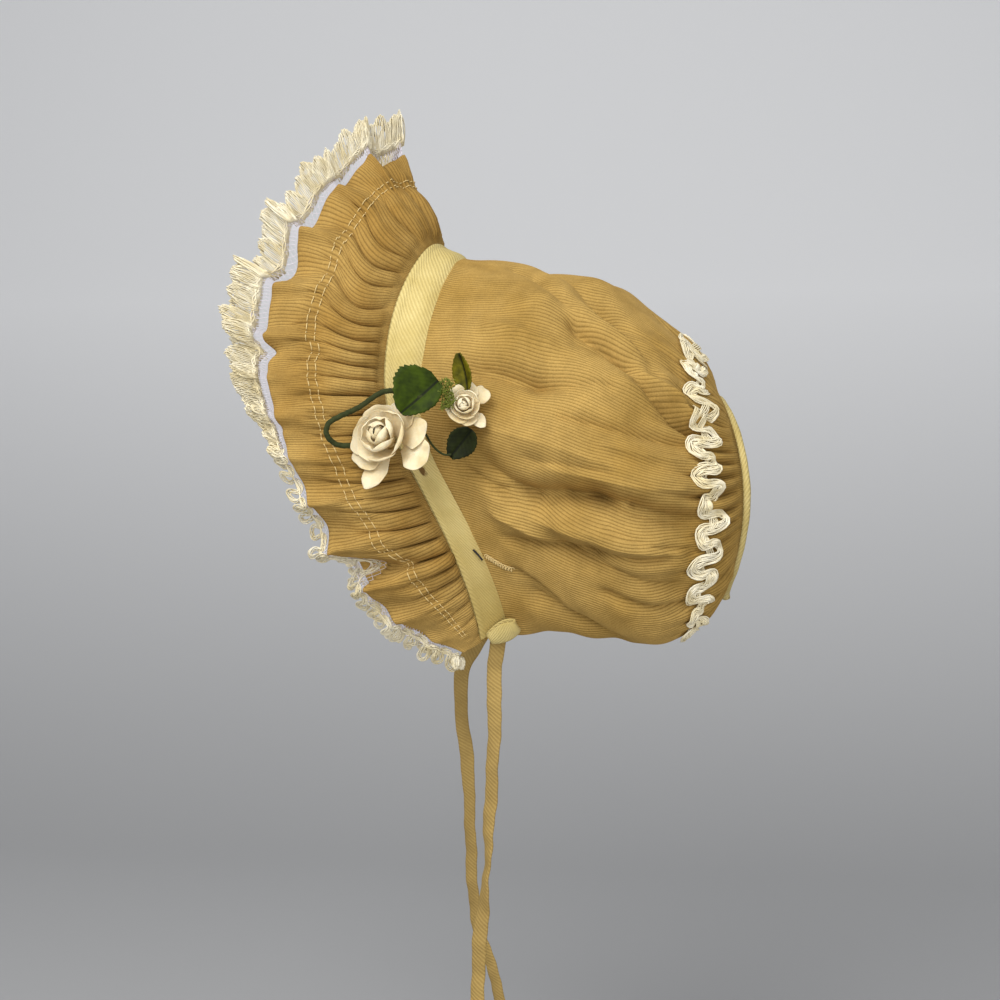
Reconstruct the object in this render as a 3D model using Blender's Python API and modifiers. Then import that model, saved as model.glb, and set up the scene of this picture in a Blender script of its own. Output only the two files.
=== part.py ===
"""Corduroy bonnet with a gathered frill, lace edging, ties and a sprig of paper roses.

Metres, +Z up. The face opening looks along -Y and the wearer's left side is +X. The origin is the
point inside the crown where the top of the head touches it.
"""
import math

import bmesh
import bpy
import numpy as np
from mathutils import Vector

MM = 0.001

# Cloth, tape and cord thicknesses, and the clearance between sewn pieces, in millimetres
CORDUROY = 1.3
NET = 1.0
LACE = 1.6
TAPE = 1.0
CLEARANCE = 0.35
STRIP_GAP = 0.85

# Band over the seam, in millimetres, which stops a little short of the neck corners
BAND_START = 1.2
BAND_WIDTH = 8.6
BAND_ARC = 0.985
BAND_STEPS = 45

# Back disc, a round panel cut off straight at the neck, in millimetres and degrees
DISC_CENTRE_Y = 70.0
DISC_CENTRE_Z = -71.0
DISC_RADIUS = 32.0
DISC_END_ANGLE = 156.0
DISC_BEND = 7.0
DISC_DOME = 2.0
DISC_STEPS = 29
DISC_RINGS = 4
BINDING_RADIUS = 1.3
BINDING_STEPS = 33

# Zigzag braid laid over the gathers at the back: how deep it lies on the crown, and its size
BRAID_DEPTH = 0.895
BRAID_HALF_WIDTH = 0.045
BRAID_ARC = 0.95
BRAID_DROP = 0.06
BRAID_DROP_START = 0.6
BRAID_RADIUS = 1.25
BRAID_WAVES = 16

# The bonnet hangs a little askew: the right side is drawn forward and sags, in millimetres. The pull
# grows from the top down to the neck, and dies out between HANG_FRONT_Y and HANG_BACK_Y.
SWAY = 24.0
DROOP = 7.0
FULL_WIDTH = 92.0
LEVEL_SHARE = 0.36
DEPTH = 115.0
LOWEST_SHARE = 1.1
HANG_BACK_Y = 55.0
HANG_FRONT_Y = -10.0

# Face edge from the top of the head (row 1) down to the left neck corner (last row), in millimetres.
# seam: where band and frill meet. edge: outer edge of the frill. lace: outer edge of the lace.
FACE_COLUMNS = ("seam_x", "seam_y", "seam_z", "edge_x", "edge_y", "edge_z", "lace_x", "lace_y", "lace_z")
FACE_ROWS = (
    (0, -21, 5, 0, -35, 34, 0, -36, 49),
    (18, -22, 2, 19, -45, 28, 20, -49, 39),
    (32, -25, -10, 38, -55, 6, 40, -65, 14),
    (41, -28, -25, 53, -62, -20, 56, -74, -15),
    (46, -29, -40, 60, -61, -39, 64, -71, -37),
    (47, -26, -54, 61, -58, -55, 63, -65, -53),
    (45, -19, -69, 58, -51, -73, 57, -56, -74),
    (42, -12, -83, 52, -41, -91, 50, -47, -93),
    (38, -6, -97, 44, -27, -106, 42, -31, -111),
    (33, -2, -111, 35, -9, -115, 34, -9, -122),
)

# How far the crown stands off the straight line from face edge to disc, in millimetres
PUFF_COLUMNS = ("depth", "height")
PUFF_ROWS = (
    (0.00, 0.0),
    (0.10, 1.5),
    (0.25, 7.0),
    (0.40, 12.0),
    (0.55, 15.0),
    (0.70, 16.5),
    (0.83, 12.5),
    (0.92, 7.5),
    (1.00, 0.0),
)
PUFF_AXIS_Z = -50.0
BACK_PUFF = 0.6

# The puff dies out at the neck edge, and the lowest part of it turns in under the head
NECK_TURN_ARC = 0.7
NECK_TURN_MOST = 0.7
NECK_TURN_FRONT = 1.1
NECK_TURN_FADE = 1.5
HEM_POWER = 10
HEM_ROUNDING = 0.6

# Main folds of the crown, each a straight crease between two places on it. Height is below zero in a
# valley and above it on a ridge, and both sizes are in millimetres.
FOLD_COLUMNS = ("arc_start", "depth_start", "arc_end", "depth_end", "width", "height")
FOLD_ROWS = (
    (0.02, 0.36, 0.18, 0.62, 5.0, -2.0),
    (0.18, 0.62, 0.27, 0.77, 4.5, -2.2),
    (0.27, 0.55, 0.30, 0.73, 5.0, -1.8),
    (0.35, 0.61, 0.33, 0.82, 5.0, 2.0),
    (0.37, 0.27, 0.38, 0.48, 6.0, -1.8),
    (0.58, 0.24, 0.62, 0.36, 5.5, -2.4),
    (0.62, 0.36, 0.58, 0.57, 5.5, -2.8),
    (0.58, 0.57, 0.60, 0.83, 5.5, -2.6),
    (0.50, 0.30, 0.51, 0.78, 8.0, 1.6),
    (0.66, 0.36, 0.66, 0.80, 5.5, 1.6),
    (0.70, 0.42, 0.74, 0.80, 5.0, -2.4),
    (0.87, 0.25, 0.93, 0.56, 5.0, -2.4),
    (-0.06, 0.30, -0.20, 0.74, 6.0, -2.2),
    (-0.30, 0.26, -0.36, 0.60, 7.0, -2.2),
    (-0.44, 0.45, -0.46, 0.82, 6.0, 1.8),
    (-0.56, 0.22, -0.58, 0.80, 6.0, -2.6),
    (-0.70, 0.30, -0.73, 0.82, 5.5, -2.4),
    (-0.86, 0.22, -0.91, 0.60, 5.0, -2.4),
)
ARC_LENGTH = 165.0
DEPTH_LENGTH = 105.0

# Gathers of the crown, which deepen towards the back: height in millimetres against depth. They lie
# closer together near the neck.
CROWN_GATHERS = 30
CROWN_ROWS = 13
GATHER_CROWDING = 0.25
GATHER_COLUMNS = ("depth", "height")
GATHER_ROWS = ((0.0, 0.0), (0.60, 0.0), (0.74, 0.5), (0.86, 1.1), (0.94, 1.3), (1.0, 0.5))

# Flutes of the frill: height in millimetres against reach, which is 0 at the seam, 1 at the frill's
# edge and 1 + LACE_REACH at the lace's edge. They wander and are uneven in height.
FRILL_FLUTES = 28
STEPS_PER_FLUTE = 4
FRILL_STEPS = (0.0, 0.16, 0.36, 0.58, 0.8, 1.0)
FLUTE_COLUMNS = ("reach", "height")
FLUTE_ROWS = ((0.0, 0.4), (0.16, 1.3), (0.36, 1.2), (0.58, 0.6), (0.8, 1.7), (1.0, 2.6), (1.5, 3.0))
FLUTE_WANDER = 0.5
FLUTE_WANDER_RATE = 5.0
FLUTE_UNEVENNESS = 0.25
FLUTE_UNEVEN_RATE = 11.0
FRILL_START = 1.3
FRILL_BULGE = 4.0
BULGE_LEAN = 8.0
NET_END = 0.15
LACE_REACH = 0.5
LACE_MIDDLE = 0.4
LACE_RUCHE = 4.0

# Folded tape at each neck corner, where the tie is sewn on: the way it runs on the crown as depth,
# and its height off the crown in millimetres
TAB_COLUMNS = ("depth", "lift")
TAB_ROWS = (
    (0.015, 3.3),
    (0.125, 3.3),
    (0.138, 3.55),
    (0.143, 4.15),
    (0.138, 4.75),
    (0.125, 5.0),
    (0.015, 4.9),
)
TAB_ARC_START = 0.925
TAB_ARC_END = 0.975

# Ties, in millimetres, with the twist in degrees from lying flat to the side
TIE_WIDTH = 4.8
TIE_STEPS = 23
TIE_COLUMNS = ("x", "y", "z", "twist")
TIE_LEFT_ROWS = (
    (32.2, 1.0, -110.5, 0),
    (31.6, 0.2, -116.0, 5),
    (31.0, -0.6, -121.0, 15),
    (31.0, -0.4, -134.0, 30),
    (31.0, -1.4, -155.0, 35),
    (31.0, -2.3, -169.0, 50),
    (31.0, -2.7, -179.0, 65),
    (31.0, -4.6, -197.0, 25),
    (31.0, -5.3, -211.0, 25),
    (31.0, -5.2, -220.0, 25),
)
TIE_RIGHT_ROWS = (
    (-32.3, -12.6, -114.4, 0),
    (-32.0, -16.4, -120.5, 0),
    (-32.0, -20.4, -128.0, 0),
    (-32.0, -20.6, -143.0, 5),
    (-32.0, -18.6, -159.0, 15),
    (-32.0, -17.6, -184.0, 35),
    (-32.0, -16.9, -200.0, 30),
    (-32.0, -15.0, -214.0, 35),
    (-32.0, -9.8, -228.0, 30),
    (-32.0, -8.1, -237.0, 30),
    (-32.0, -7.6, -242.0, 30),
)

# Flower sprig on the left of the band, in millimetres. A rose has petal lobes round its rim and rings
# over its face. A leaf has a row of teeth down each side.
PETAL_LOBES = 5
PETAL_LOBE = 0.1
PETAL_RINGS = 6
PETAL_RING = 0.12
ROSE_SEGMENTS = 18
ROSE_BANDS = 8
LEAF_THICKNESS = 0.9
LEAF_STEPS = 9
LEAF_STALK = 0.06
LEAF_FULLNESS = 0.8
TOOTH = 0.1
ROSE_COLUMNS = ("name", "centre", "facing", "radius", "height")
ROSE_ROWS = (
    ("rose_large", (59.3, -25.0, -55.0), (1.0, 0.2, 0.05), 11.5, 4.6),
    ("rose_small", (56.2, -5.5, -45.0), (0.9, 0.35, 0.2), 6.0, 4.6),
)
LEAF_COLUMNS = ("name", "base", "tip", "facing", "width", "fold")
LEAF_ROWS = (
    ("leaf_front", (59.6, -12.0, -44.6), (64.0, -25.3, -40.6), (1.0, 0.3, 0.1), 12.0, 1.2),
    ("leaf_upright", (55.0, -4.6, -37.8), (56.5, -6.4, -31.5), (0.8, -0.5, 0.2), 5.0, 1.6),
    ("leaf_dark", (57.4, -2.8, -52.0), (56.0, -9.0, -59.4), (1.0, 0.1, -0.1), 8.0, 1.0),
)
STEM_RADIUS = 0.75
STEM_STEPS = 16
STEM_ROUTE = (
    (58.8, -14.0, -43.8),
    (60.3, -19.0, -42.6),
    (61.3, -26.0, -41.6),
    (62.5, -33.0, -46.0),
    (65.5, -39.0, -48.6),
    (67.5, -42.2, -51.0),
    (67.5, -42.4, -54.4),
    (65.5, -39.6, -57.0),
    (63.5, -36.4, -56.4),
)

# Colours, linear
CORDUROY_COLOUR = (0.47, 0.31, 0.11, 1.0)
FRILL_COLOUR = (0.44, 0.27, 0.09, 1.0)
TAPE_COLOUR = (0.70, 0.58, 0.27, 1.0)
LACE_COLOUR = (0.74, 0.68, 0.50, 1.0)
NET_COLOUR = (0.45, 0.40, 0.44, 1.0)
PAPER_COLOUR = (0.72, 0.60, 0.42, 1.0)
LEAF_COLOUR = (0.05, 0.12, 0.01, 1.0)
STEM_COLOUR = (0.03, 0.05, 0.01, 1.0)

# Ends of the surfaces where their normals can still be measured, and the step that measures them
LAST_ARC = 0.995
LAST_ACROSS = 0.996
NORMAL_STEP = 0.004


def column(names, rows, name):
    """One named column of a table."""
    return [row[names.index(name)] for row in rows]


def spline(knots, values, at):
    """Smooth curve through table values, each knot's slope taken from its neighbours."""
    knots = np.asarray(knots, float)
    values = np.asarray(values, float)
    slopes = np.gradient(values, knots)
    cell = np.clip(np.searchsorted(knots, at, side="right") - 1, 0, len(knots) - 2)
    width = knots[cell + 1] - knots[cell]
    t = np.clip((at - knots[cell]) / width, 0.0, 1.0)
    rise = (1 - t) ** 2 * (1 + 2 * t) * values[cell] + t ** 2 * (3 - 2 * t) * values[cell + 1]
    return rise + width * t * (1 - t) * ((1 - t) * slopes[cell] - t * slopes[cell + 1])


def face_loop(prefix, arc):
    """Point on the seam, edge or lace loop: arc is 0 at the top, 1 at the left corner, -1 at the right."""
    knots = np.linspace(-1.0, 1.0, 2 * len(FACE_ROWS) - 1)
    sides = []
    for axis in "xyz":
        half = column(FACE_COLUMNS, FACE_ROWS, f"{prefix}_{axis}")
        mirrored = [-value if axis == "x" else value for value in half[:0:-1]]
        sides.append(spline(knots, mirrored + half, arc))
    return np.stack(sides, axis=-1)


def disc_loop(arc, radius=DISC_RADIUS):
    """Point on the rim of the back disc, which bends forward at its top and bottom."""
    angle = np.radians(DISC_END_ANGLE) * arc
    x = radius * np.sin(angle)
    z = DISC_CENTRE_Z + radius * np.cos(angle)
    return np.stack([x, DISC_CENTRE_Y - DISC_BEND * np.cos(angle) ** 2, z], axis=-1)


def hang(points):
    """Draw the right side forward and let it sag, more towards the neck and less towards the back."""
    x, y, z = points[..., 0], points[..., 1], points[..., 2]
    down = np.clip(-z / DEPTH, 0.0, LOWEST_SHARE)
    forward = np.clip((HANG_BACK_Y - y) / (HANG_BACK_Y - HANG_FRONT_Y), 0.0, 1.0)
    share = (LEVEL_SHARE - x / FULL_WIDTH) * down * forward
    return np.stack([x, y - SWAY * share, z - DROOP * share], axis=-1)


def unit(vectors):
    return vectors / np.maximum(np.linalg.norm(vectors, axis=-1, keepdims=True), 1e-9)


def fade_to_neck(arc):
    """1 along most of the arch, falling to 0 at both neck corners."""
    return 1 - np.abs(arc) ** HEM_POWER


def crown_base(arc, depth):
    """Smooth crown: straight lines from seam to disc, puffed outwards, turned in at the neck."""
    arc, depth = np.broadcast_arrays(np.asarray(arc, float), np.asarray(depth, float))
    share = depth[..., None]
    line = (1 - share) * face_loop("seam", arc) + share * disc_loop(arc)
    outward = np.stack([line[..., 0], np.zeros_like(arc), line[..., 2] - PUFF_AXIS_Z], axis=-1)
    low = np.clip((np.abs(arc) - NECK_TURN_ARC) / (1 - NECK_TURN_ARC), 0.0, 1.0)
    outward[..., 2] *= 1 - low * np.clip(NECK_TURN_FRONT - NECK_TURN_FADE * depth, 0.0, NECK_TURN_MOST)
    depths, heights = (column(PUFF_COLUMNS, PUFF_ROWS, name) for name in PUFF_COLUMNS)
    hem = np.clip(fade_to_neck(arc), 0.0, 1.0) ** HEM_ROUNDING
    puff = spline(depths, heights, depth) * hem * (1 + BACK_PUFF * arc ** 4 * depth)
    return hang(line + unit(outward) * puff[..., None])


def frill_base(arc, reach):
    """Smooth frill: reach is 0 at the seam, 1 at the frill's edge and 1.5 at the lace's edge."""
    arc, reach = np.broadcast_arrays(np.asarray(arc, float), np.asarray(reach, float))
    seam = face_loop("seam", arc)
    edge = face_loop("edge", arc)
    lace = face_loop("lace", arc)
    inner = np.clip(reach, 0.0, 1.0)[..., None]
    outer = np.clip((reach - 1.0) / LACE_REACH, 0.0, 1.0)[..., None]
    away = unit(edge - seam)
    round_out = np.stack([seam[..., 0], np.full_like(arc, BULGE_LEAN), seam[..., 2] - PUFF_AXIS_Z], axis=-1)
    bulge = unit(round_out) * FRILL_BULGE * np.sin(np.pi * inner) * fade_to_neck(arc)[..., None]
    start = seam + away * FRILL_START
    return hang(start + (edge - start) * inner + (lace - edge) * outer + bulge)


def normals_of(base, arc, across):
    """Unit normals of a base surface that runs back from the seam, by small steps along it."""
    along_arc = base(arc + NORMAL_STEP, across) - base(arc - NORMAL_STEP, across)
    along_across = base(arc, across + NORMAL_STEP) - base(arc, across - NORMAL_STEP)
    return unit(np.cross(along_arc, along_across))


def crown_surface(arc, depth, lift):
    """Crown point, lifted off the middle of the cloth along the smooth normal."""
    arc = np.clip(arc, -LAST_ARC, LAST_ARC)
    inside = np.clip(depth, 1 - LAST_ACROSS, LAST_ACROSS)
    return crown_base(arc, depth) + normals_of(crown_base, arc, inside) * np.asarray(lift)[..., None]


def frill_surface(arc, reach, lift):
    """Frill, net or lace point, lifted along the smooth normal."""
    arc = np.clip(arc, -LAST_ARC, LAST_ARC)
    inside = np.clip(reach, 1 - LAST_ACROSS, LAST_ACROSS)
    return frill_base(arc, reach) - normals_of(frill_base, arc, inside) * np.asarray(lift)[..., None]


def material(name, colour, roughness):
    made = bpy.data.materials.new(name)
    made.use_nodes = True
    shader = made.node_tree.nodes["Principled BSDF"]
    shader.inputs["Base Color"].default_value = colour
    shader.inputs["Roughness"].default_value = roughness
    shader.inputs["Metallic"].default_value = 0.0
    made.diffuse_color = colour
    return made


def add_object(name, data, finish):
    made = bpy.data.objects.new(name, data)
    bonnet.objects.link(made)
    data.materials.append(finish)
    return made


def cloth(name, points, thickness, finish):
    """Open grid of points in millimetres, given its thickness by Solidify."""
    rows, columns = points.shape[:2]
    mesh = bpy.data.meshes.new(name)
    grid = bmesh.new()
    corners = [grid.verts.new(Vector(point) * MM) for point in points.reshape(-1, 3)]
    for row in range(rows - 1):
        for column in range(columns - 1):
            first = row * columns + column
            cell = (first, first + columns, first + columns + 1, first + 1)
            grid.faces.new([corners[index] for index in cell])
    bmesh.ops.remove_doubles(grid, verts=grid.verts, dist=1e-6)
    grid.to_mesh(mesh)
    grid.free()
    made = add_object(name, mesh, finish)
    wall = made.modifiers.new("Wall", "SOLIDIFY")
    wall.thickness = thickness * MM
    wall.offset = 0.0
    return made


def tube(name, points, radius, finish):
    """Round cord or wire through points in millimetres."""
    curve = bpy.data.curves.new(name, "CURVE")
    curve.dimensions = "3D"
    line = curve.splines.new("POLY")
    line.points.add(len(points) - 1)
    for slot, point in zip(line.points, points):
        slot.co = (point[0] * MM, point[1] * MM, point[2] * MM, 1.0)
    curve.bevel_depth = radius * MM
    curve.bevel_resolution = 1
    curve.use_fill_caps = True
    return add_object(name, curve, finish)


def smooth_route(rows, count):
    """Evenly counted points on the smooth curve through the rows of a table."""
    knots = np.arange(len(rows), dtype=float)
    at = np.linspace(0.0, len(rows) - 1.0, count)
    return np.stack([spline(knots, column, at) for column in zip(*rows)], axis=-1)


def fold_height(arc, depth):
    """Height of the main folds at a place on the crown, in millimetres."""
    across = arc * ARC_LENGTH
    back = depth * DEPTH_LENGTH
    height = np.zeros(np.broadcast(arc, depth).shape)
    for row in FOLD_ROWS:
        fold = dict(zip(FOLD_COLUMNS, row))
        start = np.array([fold["arc_start"] * ARC_LENGTH, fold["depth_start"] * DEPTH_LENGTH])
        run = np.array([fold["arc_end"] * ARC_LENGTH, fold["depth_end"] * DEPTH_LENGTH]) - start
        along = ((across - start[0]) * run[0] + (back - start[1]) * run[1]) / (run @ run)
        along = np.clip(along, 0.0, 1.0)
        distance = np.hypot(across - start[0] - along * run[0], back - start[1] - along * run[1])
        height = height + fold["height"] * np.exp(-((distance / fold["width"]) ** 2))
    return height


def flutes(arc, reach):
    """Height of the frill's flutes, which lean a little as they run across it."""
    reaches, heights = (column(FLUTE_COLUMNS, FLUTE_ROWS, name) for name in FLUTE_COLUMNS)
    height = np.interp(reach, reaches, heights)
    turn = np.pi * FRILL_FLUTES * (arc + 1.0)
    wander = FLUTE_WANDER * np.sin(FLUTE_WANDER_RATE * arc + 1.0)
    uneven = 1 + FLUTE_UNEVENNESS * np.sin(FLUTE_UNEVEN_RATE * arc)
    return height * np.sin(turn + wander) * uneven * fade_to_neck(arc)


def make_crown(finish):
    """Gathered shell, open at the face and the neck."""
    across = np.linspace(-1.0, 1.0, 2 * CROWN_GATHERS + 1)
    across = across * (1 + GATHER_CROWDING * (1 - across ** 2))
    arc, depth = np.meshgrid(across, np.linspace(0.0, 1.0, CROWN_ROWS + 1))
    depths, heights = (column(GATHER_COLUMNS, GATHER_ROWS, name) for name in GATHER_COLUMNS)
    ridge = np.where(np.arange(len(across)) % 2 == 0, 1.0, -1.0)
    lift = np.interp(depth, depths, heights) * ridge * fade_to_neck(arc) + fold_height(arc, depth)
    return cloth("crown", crown_surface(arc, depth, lift), CORDUROY, finish)


def make_band(finish):
    """Bias tape laid over the crown's front edge."""
    arc = np.linspace(-BAND_ARC, BAND_ARC, BAND_STEPS)
    length = np.linalg.norm(disc_loop(arc) - face_loop("seam", arc), axis=-1)
    width = np.linspace(BAND_START, BAND_START + BAND_WIDTH, 3)
    depth = width[:, None] / length
    lift = np.full(depth.shape, CORDUROY / 2 + TAPE / 2 + 2 * CLEARANCE)
    return cloth("front_band", crown_surface(arc[None, :] + 0 * depth, depth, lift), TAPE, finish)


def frill_part(name, steps, thickness, finish, ruche=0.0):
    """One strip of the frill, net or lace, between two reaches, clear of the strip before it."""
    arc, reach = np.meshgrid(np.linspace(-1.0, 1.0, FRILL_FLUTES * STEPS_PER_FLUTE + 1), steps)
    start, end = steps[0], steps[-1]
    share = (reach - start) / (end - start)
    if end == 1.0:
        length = np.linalg.norm(face_loop("edge", arc) - face_loop("seam", arc), axis=-1)
        reach = reach - STRIP_GAP / length * share
    if start > 1.0:
        border = np.linalg.norm(face_loop("lace", arc) - face_loop("edge", arc), axis=-1)
        reach = reach + LACE_REACH * STRIP_GAP / border * (1 - share)
    ridge = np.where(np.arange(arc.shape[1]) % 2 == 0, 1.0, -1.0)
    lift = flutes(arc, reach) + ruche * ridge * np.clip(reach - 1.0 - NET_END / 2, 0.0, 1.0)
    return cloth(name, frill_surface(arc, reach, lift), thickness, finish)


def make_disc(finish):
    """Round back panel, slightly domed, cut straight at the neck."""
    rim = disc_loop(np.linspace(-1.0, 1.0, DISC_STEPS), DISC_RADIUS - 2 * BINDING_RADIUS - 2 * CLEARANCE)
    middle = np.array([0.0, DISC_CENTRE_Y - DISC_BEND, rim[0, 2]])
    share = np.linspace(0.0, 1.0, DISC_RINGS)[:, None, None]
    points = middle + (rim - middle) * share
    radius = np.hypot(points[..., 0], points[..., 2] - DISC_CENTRE_Z) / DISC_RADIUS
    bend = DISC_BEND * ((points[..., 2] - DISC_CENTRE_Z) / DISC_RADIUS) ** 2
    behind = BINDING_RADIUS + CLEARANCE + DISC_DOME * np.clip(1 - radius ** 2, 0.0, 1.0)
    points[..., 1] = DISC_CENTRE_Y - bend + behind
    return cloth("back_disc", points, CORDUROY, finish)


def make_binding(finish):
    """Folded tape round the disc, in line with the crown's gathered edge."""
    arc = np.linspace(-1.0, 1.0, BINDING_STEPS)
    onward = unit(crown_base(arc, 1.0) - crown_base(arc, 1.0 - BRAID_HALF_WIDTH))
    points = disc_loop(arc) + onward * (BINDING_RADIUS + 2 * CLEARANCE)
    return tube("back_binding", points, BINDING_RADIUS, finish)


def make_braid(finish):
    """Zigzag braid that crosses from side to side over the gathers."""
    count = 4 * BRAID_WAVES + 1
    arc = np.linspace(-BRAID_ARC, BRAID_ARC, count)
    side = np.array([0.0, 1.0, 0.0, -1.0])[np.arange(count) % 4]
    forward = BRAID_DROP * np.clip((np.abs(arc) - BRAID_DROP_START) / (1 - BRAID_DROP_START), 0.0, 1.0)
    depth = BRAID_DEPTH - forward + BRAID_HALF_WIDTH * side
    fold = np.clip(fold_height(arc, depth), 0.0, None)
    highest = max(column(GATHER_COLUMNS, GATHER_ROWS, "height"))
    lift = fold + CORDUROY / 2 + highest + CLEARANCE + BRAID_RADIUS
    points = crown_surface(arc, depth, lift)
    return tube("back_braid", points, BRAID_RADIUS, finish)


def make_tab(name, side, finish):
    """Tape folded back on itself over the band's lower end."""
    depth, lift = (np.array(column(TAB_COLUMNS, TAB_ROWS, name)) for name in TAB_COLUMNS)
    arc = np.linspace(TAB_ARC_START, TAB_ARC_END, 3)[:, None] * side
    points = crown_surface(arc + 0 * depth, depth + 0 * arc, lift + 0 * arc)
    return cloth(name, points, TAPE, finish)


def make_tie(name, rows, finish):
    """Flat tape that hangs from the neck corner and turns a little on its way down."""
    tie = dict(zip(TIE_COLUMNS, smooth_route(rows, TIE_STEPS).T))
    turn = np.radians(tie["twist"])
    across = np.stack([np.sin(turn), np.cos(turn), np.zeros_like(turn)], axis=-1) * TIE_WIDTH / 2
    centre = np.stack([tie["x"], tie["y"], tie["z"]], axis=-1)
    return cloth(name, np.stack([centre - across, centre + across]), TAPE, finish)


def make_rose(name, centre, facing, radius, height, finish):
    """Paper rose as one rounded body with petal lobes and rippled rings."""
    flower = bmesh.new()
    bmesh.ops.create_uvsphere(flower, u_segments=ROSE_SEGMENTS, v_segments=ROSE_BANDS, radius=1.0)
    turn = Vector(facing).to_track_quat("Z", "Y")
    for vertex in flower.verts:
        polar = math.acos(max(-1.0, min(1.0, vertex.co.z)))
        around = math.atan2(vertex.co.y, vertex.co.x)
        lobe = radius * (1 + PETAL_LOBE * math.cos(PETAL_LOBES * around))
        ripple = PETAL_RING * math.sin(PETAL_RINGS * polar) if polar < math.pi / 2 else 0.0
        shape = Vector((vertex.co.x * lobe, vertex.co.y * lobe, (vertex.co.z + ripple) * height))
        vertex.co = (Vector(centre) + turn @ shape) * MM
    mesh = bpy.data.meshes.new(name)
    flower.to_mesh(mesh)
    flower.free()
    return add_object(name, mesh, finish)


def make_leaf(name, base, tip, facing, width, fold, finish):
    """Serrated leaf, bent up along its midrib."""
    base, tip, facing = (np.array(value, float) for value in (base, tip, facing))
    share = np.linspace(0.0, 1.0, LEAF_STEPS)
    half = width / 2 * np.sin(np.pi * (LEAF_STALK + (1 - 2 * LEAF_STALK) * share)) ** LEAF_FULLNESS
    half = half * np.where(np.arange(LEAF_STEPS) % 2 == 0, 1 - TOOTH, 1 + TOOTH)
    side = unit(np.cross(facing, tip - base))
    up = unit(np.cross(tip - base, side))
    rib = base + (tip - base) * share[:, None]
    rows = [rib + side * half[:, None] * sign + up * fold * abs(sign) for sign in (-1, 0, 1)]
    return cloth(name, np.stack(rows), LEAF_THICKNESS, finish)


def clear_scene():
    for made in list(bpy.data.objects):
        bpy.data.objects.remove(made, do_unlink=True)


clear_scene()
bonnet = bpy.data.collections.new("corduroy_bonnet")
bpy.context.scene.collection.children.link(bonnet)

corduroy = material("corduroy", CORDUROY_COLOUR, 0.85)
frill_corduroy = material("frill_corduroy", FRILL_COLOUR, 0.85)
tape = material("bias_tape", TAPE_COLOUR, 0.8)
lace = material("rayon_lace", LACE_COLOUR, 0.45)
net = material("cotton_net", NET_COLOUR, 0.9)
paper = material("rose_paper", PAPER_COLOUR, 0.7)
leaf_green = material("leaf_cloth", LEAF_COLOUR, 0.55)
stem_green = material("stem_paper", STEM_COLOUR, 0.7)

make_crown(corduroy)
make_band(tape)
frill_part("front_ruffle", FRILL_STEPS, CORDUROY, frill_corduroy)
frill_part("net_strip", (1.0, 1.0 + NET_END), NET, net)
frill_part("lace_edging", (1.0 + NET_END, 1.0 + LACE_MIDDLE, 1.0 + LACE_REACH), LACE, lace, LACE_RUCHE)
make_disc(corduroy)
make_binding(tape)
make_braid(lace)
make_tab("tie_tab_left", 1, tape)
make_tab("tie_tab_right", -1, tape)
make_tie("tie_left", TIE_LEFT_ROWS, tape)
make_tie("tie_right", TIE_RIGHT_ROWS, tape)
for row in ROSE_ROWS:
    make_rose(**dict(zip(ROSE_COLUMNS, row)), finish=paper)
for row in LEAF_ROWS:
    make_leaf(**dict(zip(LEAF_COLUMNS, row)), finish=leaf_green)
tube("stem_wire", smooth_route(STEM_ROUTE, STEM_STEPS), STEM_RADIUS, stem_green)
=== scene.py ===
import math

import bpy
import numpy as np
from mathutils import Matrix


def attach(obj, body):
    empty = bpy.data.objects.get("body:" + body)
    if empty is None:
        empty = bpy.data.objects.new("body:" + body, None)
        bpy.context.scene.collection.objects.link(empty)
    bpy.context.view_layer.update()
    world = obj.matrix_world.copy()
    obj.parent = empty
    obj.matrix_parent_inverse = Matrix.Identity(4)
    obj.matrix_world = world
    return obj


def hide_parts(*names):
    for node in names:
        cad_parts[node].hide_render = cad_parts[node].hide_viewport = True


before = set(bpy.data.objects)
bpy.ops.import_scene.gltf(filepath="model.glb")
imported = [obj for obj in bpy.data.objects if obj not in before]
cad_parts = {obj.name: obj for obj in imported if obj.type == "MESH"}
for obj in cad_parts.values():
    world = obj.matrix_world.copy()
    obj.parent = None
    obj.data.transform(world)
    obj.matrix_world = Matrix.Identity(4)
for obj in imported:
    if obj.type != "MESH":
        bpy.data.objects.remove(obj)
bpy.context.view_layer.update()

# Camera
# It stands level with the middle of the bonnet, on the wearer's left and a little towards the back,
# at the distance that gives the photograph's framing.
MM = 0.001
VIEW_TARGET = (0.43, -3.07, -71.0)
VIEW_DISTANCE = 450.0
VIEW_TURN = 8.0
LENS = 52.26
SENSOR = 36.0

turn = math.radians(VIEW_TURN)
camera_data = bpy.data.cameras.new("camera")
camera_data.lens = LENS
camera_data.sensor_width = SENSOR
camera = bpy.data.objects.new("camera", camera_data)
bpy.context.scene.collection.objects.link(camera)
camera.location = (
    (VIEW_TARGET[0] + VIEW_DISTANCE * math.cos(turn)) * MM,
    (VIEW_TARGET[1] + VIEW_DISTANCE * math.sin(turn)) * MM,
    VIEW_TARGET[2] * MM,
)
camera.rotation_euler = (math.radians(90), 0, math.radians(90) + turn)
bpy.context.scene.camera = camera
bpy.context.scene.view_settings.view_transform = "Standard"

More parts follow.
